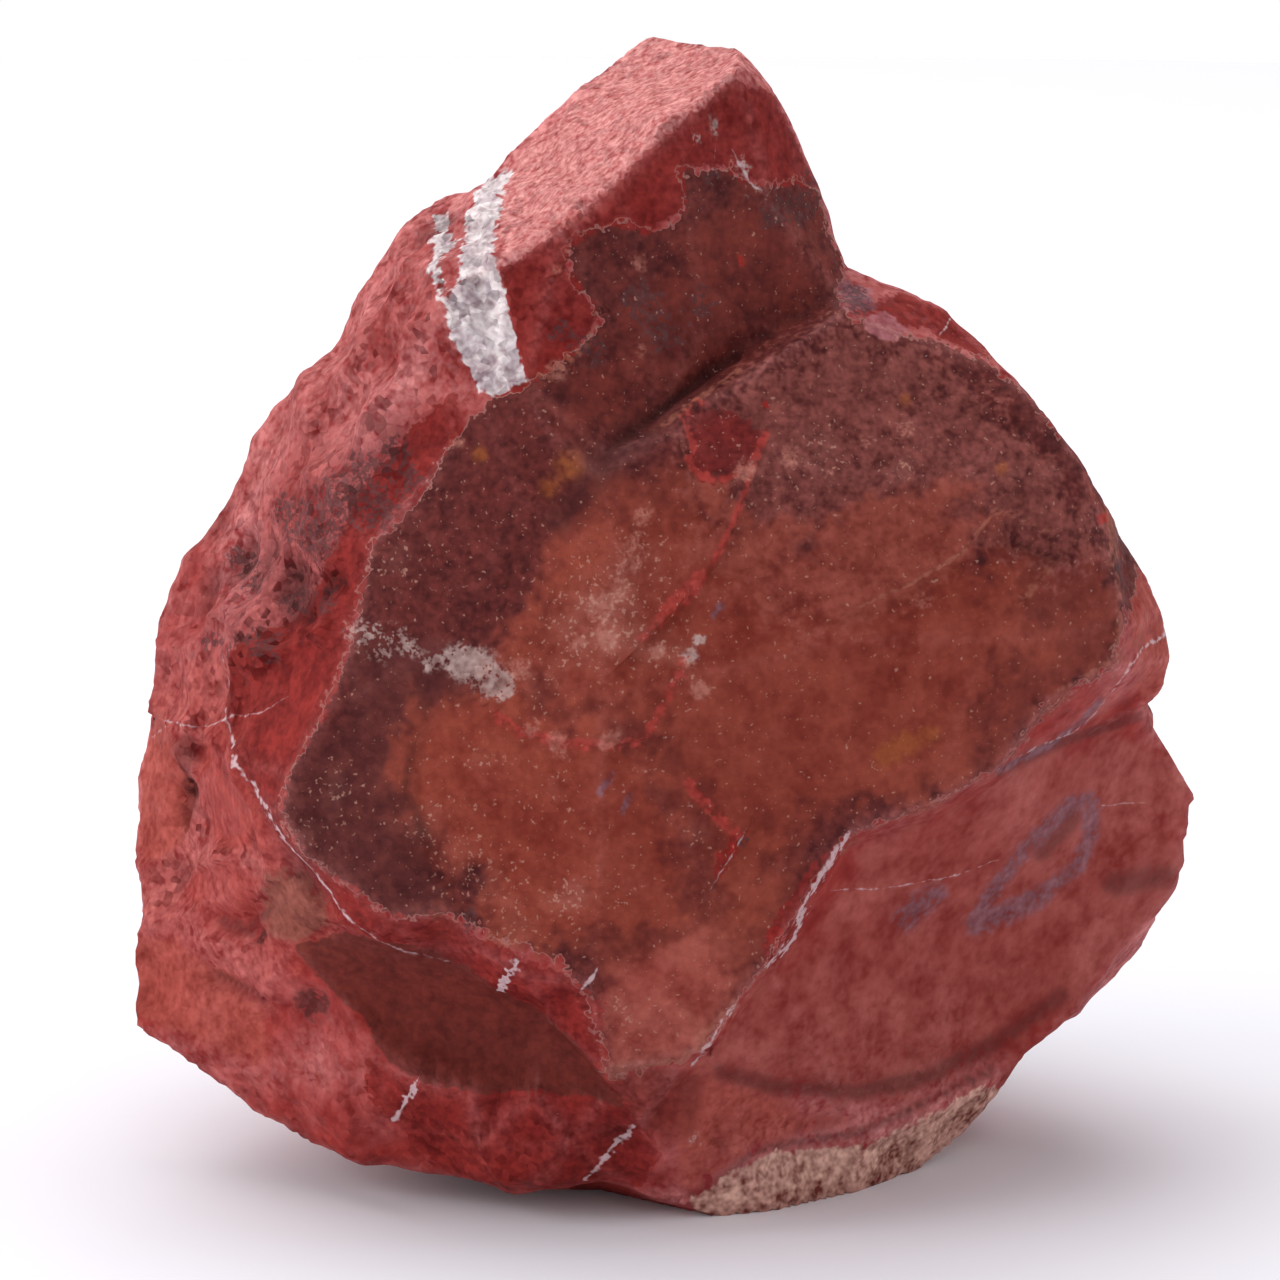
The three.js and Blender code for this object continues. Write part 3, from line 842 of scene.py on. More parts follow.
def grid_normals(points, rows, columns):
    """Cross product of the differences along the rows and round the columns."""
    grid = points.reshape(rows, columns, 3)
    down = np.gradient(grid, axis=0)
    around = np.roll(grid, -1, axis=1) - np.roll(grid, 1, axis=1)
    normals = np.cross(down, around).reshape(-1, 3)
    return normals / np.maximum(np.linalg.norm(normals, axis=1), 1e-9)[:, None]


def low_relief(points, share):
    """The CAD solid's swells and scoops: waves that cross each other, less smooth bowls."""
    swell = sum(part * np.sin(points @ np.array(along) + start) for along, part, start in SWELLS)
    scoop = np.zeros(len(points))
    for place, radius, depth in SCOOPS:
        away = np.linalg.norm(points - np.array(place), axis=1) / radius
        scoop += np.where(away < 1, depth * (1 - away ** 2) ** 2, 0)
    return share * swell - np.minimum(1, share * 4) * scoop


def scar_noise(points, size, seed):
    """Small shell-shaped scars with sharp ridges between them: the least of
    0.7 distance^2 + tilt . offset + 0.3 lift over the shaken centres of a cubic lattice, in
    lattice units, each centre with a tilt and a lift of its own; then times the size, about
    zero."""
    lattice = points / size + 50.0 + 7.7 * seed
    cell = np.floor(lattice).astype(np.int64)
    lowest = np.full(len(points), np.inf)
    for step in np.ndindex(3, 3, 3):
        near = cell + step - 1
        key = knot_key(near) ^ seed * 2971
        numbers = []
        for _ in range(7):
            key = stirred(key)
            numbers.append(key % NUMBER_RANGE / (NUMBER_RANGE - 1.0))
        offset = lattice - near - np.stack(numbers[:3], axis=1)
        tilt = np.stack(numbers[3:6], axis=1) - 0.5
        scar = 0.7 * np.einsum("ij,ij->i", offset, offset) + np.einsum("ij,ij->i", offset, tilt)
        lowest = np.minimum(lowest, scar + 0.3 * numbers[6])
    return (lowest - 0.2) * size


def fracture_relief(points, grain, hackle):
    """Height of the broken surface. A granular break has small scars and noise from 2 mm down; a
    hackly one has larger scars and ridges that are drawn out along the break."""
    tilted = points @ np.array([[0.9, 0.1, 0.42], [-0.1, 1.0, 0.1], [-0.42, 0.1, 0.9]])
    drawn = tilted * np.array([1.0, 1.0, 0.45])
    shaken = points + 0.25 * np.stack([layered_noise(points, 3.0, 2, seed) for seed in (91, 93, 95)], axis=1)
    ridges = 1 - 2 * np.abs(layered_noise(drawn, 3.4, 3, 21))
    lumps = layered_noise(points, 6.0, 3, 41)
    grit = 0.12 * layered_noise(points, 2.0, 3, 11) + 0.2 * scar_noise(shaken, 2.2, 3)
    broken = 0.7 * scar_noise(shaken, 5.5, 1) + 0.3 * scar_noise(shaken, 2.6, 2)
    granular = (0.15 + 0.85 * grain) * grit + 0.2 * grain * lumps
    return granular + hackle * (0.1 * ridges + broken + 0.15 * lumps)


def drawn_relief(across, upward, facing):
    """Height of the ledges and furrows drawn on the plate and the west face."""
    height = np.zeros(len(across))
    for points, drop, run in LEDGES.values():
        signed, _, past = along_line(across, upward, points)
        beyond = np.clip(signed, 0, None)
        raised = ease_step(signed, -0.15, 0.15) * np.exp(-beyond / run)
        height += drop * raised * ease_step(-past, -run, 0)
    for points, depth, half in FURROWS.values():
        signed, _, past = along_line(across, upward, points)
        height -= depth * np.exp(-(signed / half) ** 2) * ease_step(-past, -1.5, 0)
    height -= 0.6 * near_spots(across, upward, SPOTS["pits"])
    return height * facing


def soft_strokes(across, upward, strokes):
    """Strongest of the strokes: exp(-(distance / half width)^2) on each side of a line."""
    strength = np.zeros(len(across))
    for points, half in strokes:
        signed, _, _ = along_line(across, upward, points)
        strength = np.maximum(strength, np.exp(-(signed / half) ** 2))
    return strength


def vein_fields(across, upward, veins):
    """Signed distance to the nearest of the veins and its half width, which falls below zero
    away from the line and past its ends."""
    best = np.full(len(across), 99.0)
    half = np.full(len(across), -1.0)
    for vein in veins:
        signed, width, past = along_line(across, upward, vein)
        nearer = np.abs(signed) < np.abs(best)
        best = np.where(nearer, signed, best)
        ends = width - np.clip(past, 0, None)
        half = np.where(nearer, np.where(np.abs(signed) < 1.4, ends, -1.0), half)
    return best, half


def smooth_scar(points, inside, edge):
    """The points inside an outline, moved along the line of sight onto a shell-shaped scar: the
    depth that is quadratic in across and upward and fits them best by least squares. The move
    fades out over the edge's width."""
    across, upward, depth = on_sight(points)
    chosen = inside > edge / 2
    terms = np.column_stack([
        np.ones_like(across), across, upward, across ** 2, across * upward, upward ** 2])
    shares, *_ = np.linalg.lstsq(terms[chosen], depth[chosen], rcond=None)
    moved = depth + ease_step(inside, 0, edge) * (terms @ shares - depth)
    return on_ray(across, upward, moved)


def worn_round(points, share, rows, columns):
    """The points after eight passes, each of which moves a knot a share of half the way to the
    mean of its four neighbours, so that a thin edge is worn round."""
    for _ in range(8):
        grid = points.reshape(rows, columns, 3)
        mean = (np.roll(grid, 1, axis=1) + np.roll(grid, -1, axis=1)) / 4
        mean += (np.concatenate([grid[:1], grid[:-1]]) + np.concatenate([grid[1:], grid[-1:]])) / 4
        points = points + 0.5 * np.minimum(share, 1)[:, None] * (mean.reshape(-1, 3) - points)
    return points


def stone_surface(rows, columns):
    """All knots of the stone in millimetres, and the fields that its material reads. The cage
    takes its swells and scoops, the smooth scars and the worn edge. On that comes the height of
    the fine relief along the normal: fracture and drawn steps, less on the ridges, which are
    chipped; wide scars on the back; crystals on the quartz; and nothing near the table."""
    cage = Cage()
    points, amounts, ridge, valley = cage.meet(polar_directions(cage, rows, columns), SNAP)
    swell, grain, hackle, skin = amounts.T
    outwards = points - HEART
    outwards /= np.linalg.norm(outwards, axis=1)[:, None]
    points = points + outwards * low_relief(points, swell)[:, None]
    across, upward, depth = on_sight(points)
    # What is drawn fades out towards the back, and the fine relief towards the table.
    shaken_depth = depth - 4 * layered_noise(points, 12.0, 2, 71)
    facing = 1 - ease_step(shaken_depth, *COLOUR_FADE)
    in_view = 1 - ease_step(depth, *SCAR_FADE)
    resting = ease_step(points[:, 2], 0.02, 1.5)
    scars = [inside_outline(across, upward, outline) - CLEAR * (1 - in_view) for outline, _ in SCARS]
    for inside, (_, edge) in zip(scars, SCARS):
        points = smooth_scar(points, inside, edge)
    hollow, heel, *west_scars = scars
    points = worn_round(points, near_spots(across, upward, ROUNDED), rows, columns)
    normals = grid_normals(points, rows, columns)
    if np.mean(np.einsum("ij,ij->i", normals, outwards)) < 0:
        normals = -normals

    # The smooth scars have hardly any fine relief.
    calm = 1 - np.maximum(ease_step(hollow, -0.2, 0.6), 0.9 * ease_step(heel, -1.0, 1.0))
    calm *= 1 - 0.85 * ease_step(np.max(west_scars, axis=0), -0.1, 0.4)
    grain, hackle, ridge, valley = grain * calm, hackle * calm, ridge * calm, valley * calm
    quartz = np.max([inside_outline(across, upward, outline) for outline in QUARTZ_OUTLINES], axis=0)
    quartz -= 3 * ease_step(depth, -4.0, 2.0)
    chipping = layered_noise(points, 2.4, 3, 61)
    rough = fracture_relief(points, grain, hackle)
    height = rough + drawn_relief(across, upward, facing)
    height = height * (1 - 0.7 * np.clip(ridge, 0, 1)) - ridge * (0.08 + 0.35 * chipping)
    behind = ease_step(depth, *COLOUR_FADE)
    height += behind * (0.28 * scar_noise(points, 13.0, 7) + 0.3 * scar_noise(points, 6.5, 8))
    height += ease_step(quartz, -0.1, 0.4) * (0.9 * scar_noise(points, 1.3, 5) - 0.12)
    points = points + normals * (height * resting)[:, None]
    points[:, 2] = np.maximum(points[:, 2], 0)

    # The dark skin is drawn in front, and behind it lies where the cage has it, in patches.
    skin_front = inside_outline(across, upward, SKIN_OUTLINE)
    skin_behind = 9 * (skin - 0.5) + 5 * layered_noise(points, 16.0, 2, 81)
    fields = {
        "skin": skin_behind + facing * (skin_front - skin_behind), "hollow": hollow, "quartz": quartz,
        "rough": rough, "grain": grain, "hackle": hackle, "ridge": ridge, "valley": valley,
    }
    for name, outlines in OUTLINES.items():
        inside = np.max([inside_outline(across, upward, outline) for outline in outlines], axis=0)
        fields[name] = inside - CLEAR * (1 - facing)
    fields["rosy"] = np.max([heel, west_scars[0], fields["rosy"]], axis=0)
    for name, spots in SPOTS.items():
        fields[name] = near_spots(across, upward, spots) * facing
    fields["grey"] *= 0.8
    for name, strokes in STROKES.items():
        fields[name] = soft_strokes(across, upward, strokes) * facing
    for name, veins in VEINS.items():
        off_line, half = vein_fields(across, upward, veins)
        fields[f"vein_{name}"] = off_line
        fields[f"half_{name}"] = half - 2 * (1 - in_view)
    return points, fields


def grid_mesh(name, points, rows, columns):
    """A closed mesh from a grid: quads between the rows, and a fan around each pole, which is
    the mean of the row beside it. Returns the object."""
    grid = points.reshape(rows, columns, 3)
    vertices = np.concatenate([points, [grid[0].mean(axis=0)], [grid[-1].mean(axis=0)]])
    near_pole, far_pole = len(points), len(points) + 1
    knot = np.arange(rows * columns).reshape(rows, columns)
    beside = np.roll(knot, -1, axis=1)
    quads = np.stack([knot[:-1], knot[1:], beside[1:], beside[:-1]], axis=-1).reshape(-1, 4)
    near_fan = np.column_stack([np.full(columns, near_pole), knot[0], beside[0]])
    far_fan = np.column_stack([np.full(columns, far_pole), beside[-1], knot[-1]])
    corners = np.concatenate([quads.ravel(), near_fan.ravel(), far_fan.ravel()])
    sizes = np.concatenate([np.full(len(quads), 4), np.full(2 * columns, 3)])
    mesh = bpy.data.meshes.new(name)
    mesh.vertices.add(len(vertices))
    mesh.vertices.foreach_set("co", (vertices * MM).ravel())
    mesh.loops.add(len(corners))
    mesh.loops.foreach_set("vertex_index", corners)
    mesh.polygons.add(len(sizes))
    mesh.polygons.foreach_set("loop_start", np.concatenate([[0], np.cumsum(sizes)[:-1]]))
    mesh.polygons.foreach_set("use_smooth", np.ones(len(sizes), dtype=bool))
    mesh.update(calc_edges=True)
    mesh.validate()
    piece = bpy.data.objects.new(name, mesh)
    bpy.context.scene.collection.objects.link(piece)
    return piece


def store_fields(mesh, fields):
    """Three fields at a time become one vertex attribute; the two poles repeat the first and last
    knots."""
    for name, group in packed_fields():
        values = np.column_stack([fields[field] for field in group])
        whole = np.concatenate([values, values[:1], values[-1:]])
        attribute = mesh.attributes.new(name, "FLOAT_VECTOR", "POINT")
        attribute.data.foreach_set("vector", whole.ravel())


def linear(code):
    """Turns an sRGB hex value into linear red, green, blue and a full alpha."""
    channels = [int(code[k:k + 2], 16) / 255 for k in (0, 2, 4)]
    return tuple(c / 12.92 if c <= 0.04045 else ((c + 0.055) / 1.055) ** 2.4 for c in channels) + (1.0,)


def add(tree, kind, sockets=None, output=0, **settings):
    """Adds a node, sets its properties, and fills sockets from values or other sockets. Returns
    the wanted output, or the node where output is None."""
    node = tree.nodes.new(kind)
    for key, value in settings.items():
        setattr(node, key, value)
    for key, value in (sockets or {}).items():
        if isinstance(value, bpy.types.NodeSocket):
            tree.links.new(value, node.inputs[key])
        else:
            node.inputs[key].default_value = value
    return node if output is None else node.outputs[output]


def per_metre(millimetres):
    """Texture scale that repeats a pattern at a size given in millimetres."""
    return 1 / (millimetres * MM)


# Coats of the stone, from the ground up: the field that places each, the width of its soft edge
# and how far noise moves that edge, both in the field's unit, which noise moves and tints it, its
# two colours and its strength.
COATS = [
    ("crown", 1.0, 1.6, "grit", "A44C4C", "DE9C98", 0.8),
    ("fall", 3.0, 6.0, "broad", "7C2620", "A6564E", 0.85),
    ("ore", 2.0, 8.0, "fine", "4A1A1C", "AA4E4C", 0.6),
    ("west", 3.0, 4.0, "fine", "7E2220", "B8544C", 0.6),
    ("rosy", 1.0, 2.0, "fine", "88342C", "B0544A", 0.8),
    ("green_face", 0.8, 1.6, "fine", "6A3A30", "8E5648", 0.75),
    ("skin", 0.25, 1.6, "fine", "44191A", "6E302C", 0.96),
    ("plate", 2.0, 8.0, "broad", "68261F", "8C4034", 0.8),
    ("block", 3.0, 8.0, "broad", "521C1A", "86382E", 0.6),
    ("mauve", 2.0, 6.0, "fine", "582624", "92504A", 0.75),
    # A dark stain on the plate's west side, and painted shade over the groove's lip.
    ("dark_stain", 1.6, 5.0, "broad", "461B1C", "68322E", 0.8),
    ("warm", 3.0, 9.0, "broad", "822E22", "A24C3A", 0.5),
    ("orange", 2.5, 9.0, "broad", "822C1E", "A04A38", 0.55),
    ("orange_spots", 0.8, 1.0, "fine", "8A4222", "A8602C", 0.5),
    ("tip_face", 3.0, 3.0, "broad", "96362E", "C26A5C", 0.65),
    ("fresh", 0.25, 1.3, "fine", "621412", "8E2824", 0.92),
    ("flake", 0.4, 1.6, "fine", "5A1517", "7A2422", 0.9),
    ("pink", 0.2, 0.5, "fine", "8E4A50", "B8747A", 0.85),
    ("hollow", 0.25, 0.8, "fine", "521E1A", "6E2C24", 0.92),
    ("tip", 1.0, 1.4, "fine", "5E221E", "80342C", 0.7),
    ("chips", 0.3, 1.1, "fine", "841A18", "A82C26", 0.8),
    ("red", 0.7, 3.5, "fine", "7E1E1A", "B84640", 0.75),
    # Painted highlight on ledge tops and edges, with a tan rim at the tip.
    ("tan", 0.7, 3.5, "fine", "7E4434", "AC6A58", 0.5),
    # Mostly painted shade: shadow lines under ledges, in slits and along the groove.
    ("dark", 1.0, 1.6, "fine", "2E1416", "401C1C", 0.5),
    ("lilac", 0.8, 2.6, "fine", "4E2C36", "86606C", 0.7),
    ("grey", 0.4, 7.0, "grit", "331B1C", "5A383A", 0.7),
    # Painted shade in the pits.
    ("pits", 0.6, 3.0, "fine", "2C0E0E", "481818", 0.75),
    ("scuffs", 0.8, 4.0, "drawn", "904A40", "C48476", 0.55),
    ("pale", 0.8, 6.0, "drawn", "7A5450", "CCB4AE", 0.7),
    ("crust", 0.3, 1.2, "fine", "642A22", "EABCAA", 0.9),
    ("quartz", 0.2, 0.9, "fine", "A08890", "F8EEEE", 0.95),
]
# Coats whose field is a mark of height one, not a distance: noise scales the mark, and the coat
# starts half way up it.
MARKS = {"orange_spots", "chips", "scuffs", "grey", "pits", "pale", *STROKES}
# Other fields that the material reads: the form of the break, the thin veins' distance and half
# width, and dust.
OTHER_FIELDS = [
    "grain", "hackle", "quartz", "rough", "ridge", "valley", "vein_a", "half_a", "vein_b", "half_b", "dust",
]


def packed_fields():
    """Names for the vertex attributes, each with the three fields that it holds, so that the
    material looks up a place once for three. The last one is filled up with the first fields."""
    names = OTHER_FIELDS + [row[0] for row in COATS if row[0] not in OTHER_FIELDS]
    names += names[:-len(names) % 3]
    return [(f"fields_{k}", names[k:k + 3]) for k in range(0, len(names), 3)]


# Noise that colours and fine relief share: the size of its largest waves in millimetres, how many
# times they are halved, and how strong each halving is. The stone's own grain, a few hundredths
# of a millimetre, is too fine to show, so grit, specks and crumbs are as coarse as they need to be.
NOISES = {
    "cloud": (7.0, 1, 0.5),
    "patchy": (2.2, 2, 0.7),
    "grit": (0.6, 1, 0.75),
    "speck": (0.35, 1, 0.75),
    "streak": (1.8, 1, 0.7),
}
CRUMB = 0.6
# Streaks lean by this angle from the vertical and are drawn out by this much.
STREAK_LEAN = math.radians(48)
STREAK_LENGTH = 4.0

# Kinds of node, by short names.
MATH = "ShaderNodeMath"
VECTOR_MATH = "ShaderNodeVectorMath"
MIX = "ShaderNodeMix"
RANGE = "ShaderNodeMapRange"

# Quartz: its index of refraction, and its roughness where it is bare.
QUARTZ_IOR = 1.54
QUARTZ_ROUGHNESS = 0.35


def jasper_material(colours):
    """Red jasper, a fine iron-stained quartz, as broken and weathered: matte where the break is
    granular, waxy where it is smooth, dull and dark where a skin of iron oxide covers it."""
    material = bpy.data.materials.new("broken_red_jasper")
    material.use_nodes = True
    tree = material.node_tree
    tree.nodes.clear()
    read = {}
    for name, group in packed_fields():
        packed = add(tree, "ShaderNodeAttribute", output="Vector", attribute_name=name)
        parts = add(tree, "ShaderNodeSeparateXYZ", {0: packed}, output=None).outputs
        for field, part in zip(group, parts):
            read.setdefault(field, part)
    grain = read["grain"]
    hackle = read["hackle"]

    place = add(tree, "ShaderNodeTexCoord", output="Object")
    drawn_out = add(tree, "ShaderNodeMapping", {
        "Vector": place, "Rotation": (0.0, STREAK_LEAN, 0.0), "Scale": (1.0, 1.0, STREAK_LENGTH)},
        vector_type="TEXTURE")
    noises = {}
    for name, (size, detail, roughness) in NOISES.items():
        noises[name] = add(tree, "ShaderNodeTexNoise", {
            "Vector": drawn_out if name == "streak" else place, "Scale": per_metre(size),
            "Detail": detail, "Roughness": roughness}, output="Fac")
    cloud, patchy, grit, speck, streak = noises.values()

    # Crumbs: cells around shaken centres, each with its own tilt.
    cells = add(tree, "ShaderNodeTexVoronoi", {"Vector": place, "Scale": per_metre(CRUMB)}, output=None)
    offset = add(tree, VECTOR_MATH, {0: place, 1: cells.outputs["Position"]}, operation="SUBTRACT")
    tilt = add(tree, VECTOR_MATH, {0: cells.outputs["Color"], 1: (0.5,) * 3}, operation="SUBTRACT")
    plane = add(tree, VECTOR_MATH, {0: offset, 1: tilt}, output="Value", operation="DOT_PRODUCT")
    shade = add(tree, "ShaderNodeSeparateXYZ", {0: cells.outputs["Color"]})

    # Ground: a smooth break is deep red, a granular one is paler and pinker with dark pits.
    contrast = add(tree, MATH, {0: grit, 1: patchy}, operation="ADD")
    contrast = add(tree, RANGE, {0: contrast, 1: 0.68, 2: 1.32})
    sparkle = add(tree, MATH, {0: shade, 1: 0.24, 2: -0.12}, operation="MULTIPLY_ADD")
    speckled = add(tree, MATH, {0: contrast, 1: sparkle}, operation="ADD", use_clamp=True)
    streaked = add(tree, MATH, {0: streak, 1: 0.9, 2: -0.45}, operation="MULTIPLY_ADD")
    varied = add(tree, MATH, {0: speckled, 1: streaked}, operation="ADD", use_clamp=True)
    waxy = add(tree, RANGE, {0: patchy, 1: 0.3, 2: 0.7})
    clouded = add(tree, MATH, {0: cloud, 1: 1.4, 2: -0.7}, operation="MULTIPLY_ADD")
    rosiness = add(tree, MATH, {0: grain, 1: clouded}, operation="ADD", use_clamp=True)
    deep = add(tree, MIX, {"Factor": waxy, 6: colours["deep"], 7: colours["red"]}, output=2, data_type="RGBA")
    rosy = add(tree, MIX, {"Factor": speckled, 6: colours["rose"], 7: colours["salmon"]}, output=2,
               data_type="RGBA")
    colour = add(tree, MIX, {"Factor": rosiness, 6: deep, 7: rosy}, output=2, data_type="RGBA")

    # Each coat's edge is its distance field, moved by noise and spread over its soft width.
    sways = {kind: add(tree, MATH, {0: one, 1: two}, operation="ADD") for kind, one, two in (
        ("fine", patchy, grit), ("broad", cloud, patchy), ("drawn", streak, speck), ("grit", grit, speck))}
    gritted = add(tree, RANGE, {0: sways["grit"], 1: 0.7, 2: 1.3})
    cloudy = add(tree, RANGE, {0: sways["broad"], 1: 0.76, 2: 1.24, 3: 0.0, 4: 0.6})
    cloudy = add(tree, MATH, {0: speckled, 1: 0.38, 2: cloudy}, operation="MULTIPLY_ADD")
    tones = {"fine": speckled, "drawn": varied, "broad": cloudy, "grit": gritted}
    covers = {}
    for field, edge, sway, kind, dark, light, strength in COATS:
        if field in MARKS:
            kept = add(tree, MATH, {0: sways[kind], 1: sway, 2: 1 - sway}, operation="MULTIPLY_ADD")
            distance = add(tree, MATH, {0: read[field], 1: kept, 2: -0.5}, operation="MULTIPLY_ADD")
        else:
            moved = add(tree, MATH, {0: sways[kind], 1: sway, 2: -sway}, operation="MULTIPLY_ADD")
            distance = add(tree, MATH, {0: read[field], 1: moved}, operation="ADD")
        covers[field] = add(tree, RANGE, {0: distance, 1: -edge / 2, 2: edge / 2, 3: 0.0, 4: strength},
                            interpolation_type="SMOOTHSTEP")
        tint = add(tree, MIX, {"Factor": tones[kind], 6: linear(dark), 7: linear(light)}, output=2,
                   data_type="RGBA")
        colour = add(tree, MIX, {"Factor": covers[field], 6: colour, 7: tint}, output=2, data_type="RGBA")

    # A pale rim follows the skin's broken edge, where it is half worn through.
    rim = add(tree, MATH, {0: 0.95, 1: covers["skin"]}, operation="SUBTRACT")
    rim = add(tree, MATH, {0: rim, 1: covers["skin"]}, operation="MULTIPLY")
    rim = add(tree, MATH, {0: rim, 1: streak}, operation="MULTIPLY")
    rim = add(tree, MATH, {0: rim, 1: 4.0}, operation="MULTIPLY", use_clamp=True)

    # Golden dust lies on the skin in clusters, as a film and as flecks, and thinly elsewhere.
    cluster = add(tree, MATH, {0: read["dust"], 1: patchy}, operation="MULTIPLY")
    film = add(tree, RANGE, {0: cluster, 1: 0.3, 2: 0.9, 3: 0.0, 4: 0.15})
    gathered = add(tree, MATH, {0: cluster, 1: 0.16, 2: speck}, operation="MULTIPLY_ADD")
    fleck = add(tree, RANGE, {0: gathered, 1: 0.68, 2: 0.78, 3: 0.0, 4: 0.55})
    fleck = add(tree, MATH, {0: fleck, 1: covers["skin"]}, operation="MULTIPLY")
    outside = add(tree, MATH, {0: 1.0, 1: covers["hollow"]}, operation="SUBTRACT")
    fleck = add(tree, MATH, {0: fleck, 1: outside}, operation="MULTIPLY")

    # Thin veins: white where the shaken distance is within the half width, which grit changes.
    shaken = add(tree, MATH, {0: patchy, 1: 0.5, 2: -0.25}, operation="MULTIPLY_ADD")
    uneven = add(tree, MATH, {0: grit, 1: 3.2, 2: -0.95}, operation="MULTIPLY_ADD")
    veins = []
    for off_line, half in ((read["vein_a"], read["half_a"]), (read["vein_b"], read["half_b"])):
        off_line = add(tree, MATH, {0: off_line, 1: shaken}, operation="ADD")
        off_line = add(tree, MATH, {0: off_line}, operation="ABSOLUTE")
        body = add(tree, MATH, {0: half, 1: uneven}, operation="MULTIPLY")
        within = add(tree, MATH, {0: body, 1: off_line}, operation="SUBTRACT")
        veins.append(add(tree, RANGE, {0: within, 1: -0.02, 2: 0.16, 3: 0.0, 4: 0.75},
                         interpolation_type="SMOOTHSTEP"))

    # Broken ridges catch a paler line. The low places of the relief and the cage's valleys turn towards the
    # dirt colour, partly as dirt and partly as painted shade.
    worn = add(tree, MATH, {0: read["ridge"], 1: contrast}, operation="MULTIPLY")
    worn = add(tree, MATH, {0: worn, 1: 0.35}, operation="MULTIPLY")
    sunk_dirt_and_shade = add(tree, RANGE, {0: read["rough"], 1: -0.1, 2: -0.7, 3: 0.0, 4: 0.55})
    valley_dirt_and_shade = add(tree, MATH, {0: read["valley"], 1: 0.2}, operation="MULTIPLY")
    for cover, name in (
            (rim, "dust"), (film, "dust"), (fleck, "fleck"), (veins[0], "vein"), (veins[1], "vein"),
            (worn, "salmon"), (sunk_dirt_and_shade, "dirt_and_shade"), (valley_dirt_and_shade, "dirt_and_shade")):
        colour = add(tree, MIX, {"Factor": cover, 6: colour, 7: colours[name]}, output=2, data_type="RGBA")

    # Relief too fine for the mesh, in millimetres: patches everywhere, and on them crumbs, most
    # where the break is granular or hackly, or on quartz.
    crumbly = add(tree, MATH, {0: hackle, 1: 0.7, 2: grain}, operation="MULTIPLY_ADD")
    crumbly = add(tree, MATH, {0: covers["quartz"], 1: 0.5, 2: crumbly}, operation="MULTIPLY_ADD")
    crumbly = add(tree, MATH, {0: crumbly, 1: 0.12}, operation="ADD")
    steep = add(tree, MATH, {0: hackle, 1: 0.3, 2: 1.0}, operation="MULTIPLY_ADD")
    steep = add(tree, MATH, {0: steep, 1: 1 / MM}, operation="MULTIPLY")
    planes = add(tree, MATH, {0: plane, 1: steep}, operation="MULTIPLY")
    fine = add(tree, MATH, {0: planes, 1: crumbly}, operation="MULTIPLY")
    relief = add(tree, MATH, {0: patchy, 1: 0.26, 2: fine}, operation="MULTIPLY_ADD")
    bump = add(tree, "ShaderNodeBump", {"Height": relief, "Strength": 1.0, "Distance": MM})

    # Quartz is glossier than jasper, and a granular break is the dullest.
    dull = add(tree, MATH, {0: grain, 1: 0.22, 2: 0.5}, operation="MULTIPLY_ADD")
    dull = add(tree, MATH, {0: grit, 1: 0.2, 2: dull}, operation="MULTIPLY_ADD")
    gloss = add(tree, MIX, {"Factor": covers["quartz"], 2: dull, 3: QUARTZ_ROUGHNESS})
    surface = add(tree, "ShaderNodeBsdfPrincipled", {
        "Base Color": colour, "Roughness": gloss, "IOR": QUARTZ_IOR, "Specular IOR Level": 0.08,
        "Normal": bump})
    add(tree, "ShaderNodeOutputMaterial", {"Surface": surface}, output=None)
    return material


def board_material(colour):
    """Matte white card, as a light tent's floor is."""
    material = bpy.data.materials.new("matte_white_card")
    material.use_nodes = True
    tree = material.node_tree
    tree.nodes.clear()
    surface = add(tree, "ShaderNodeBsdfPrincipled", {"Base Color": colour, "Roughness": 0.9})
    add(tree, "ShaderNodeOutputMaterial", {"Surface": surface}, output=None)
    return material


class JasperSettings(bpy.types.PropertyGroup):
    """Sizes and colours of the stone."""
    height: bpy.props.FloatProperty(
        name="Height", description="From the table to the top of the crown, taken from the CAD solid",
        default=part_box(NODE)[1][2], min=0.01, unit="LENGTH")
    rows: bpy.props.IntProperty(
        name="Rows", description="Rings of knots between the two poles", default=164, min=20)
    columns: bpy.props.IntProperty(
        name="Columns", description="Knots in each ring", default=600, min=40)
    deep: bpy.props.FloatVectorProperty(
        name="Deep red", description="Darkest red of a smooth break", subtype="COLOR", size=4,
        default=linear("7A1F1C"))
    red: bpy.props.FloatVectorProperty(
        name="Red", description="Main red of a smooth break", subtype="COLOR", size=4,
        default=linear("A0342F"))
    rose: bpy.props.FloatVectorProperty(
        name="Rose", description="Darker grain of a granular break", subtype="COLOR", size=4,
        default=linear("963639"))
    salmon: bpy.props.FloatVectorProperty(
        name="Salmon", description="Paler grain of a granular break, and worn ridges", subtype="COLOR",
        size=4, default=linear("E69896"))
    dust: bpy.props.FloatVectorProperty(
        name="Dust", description="Thin pale film on the skin", subtype="COLOR", size=4,
        default=linear("B08078"))
    fleck: bpy.props.FloatVectorProperty(
        name="Flecks", description="Small pale grains on the skin", subtype="COLOR", size=4,
        default=linear("BE8C7C"))
    vein: bpy.props.FloatVectorProperty(
        name="Thin veins", description="Quartz that fills the thin cracks", subtype="COLOR", size=4,
        default=linear("D2B8BC"))
    # Dark dust in the furrows and pits, partly painted shade that falls in them.
    dirt_and_shade: bpy.props.FloatVectorProperty(
        name="Dirt", description="Dark dust in the furrows", subtype="COLOR", size=4,
        default=linear("38191A"))


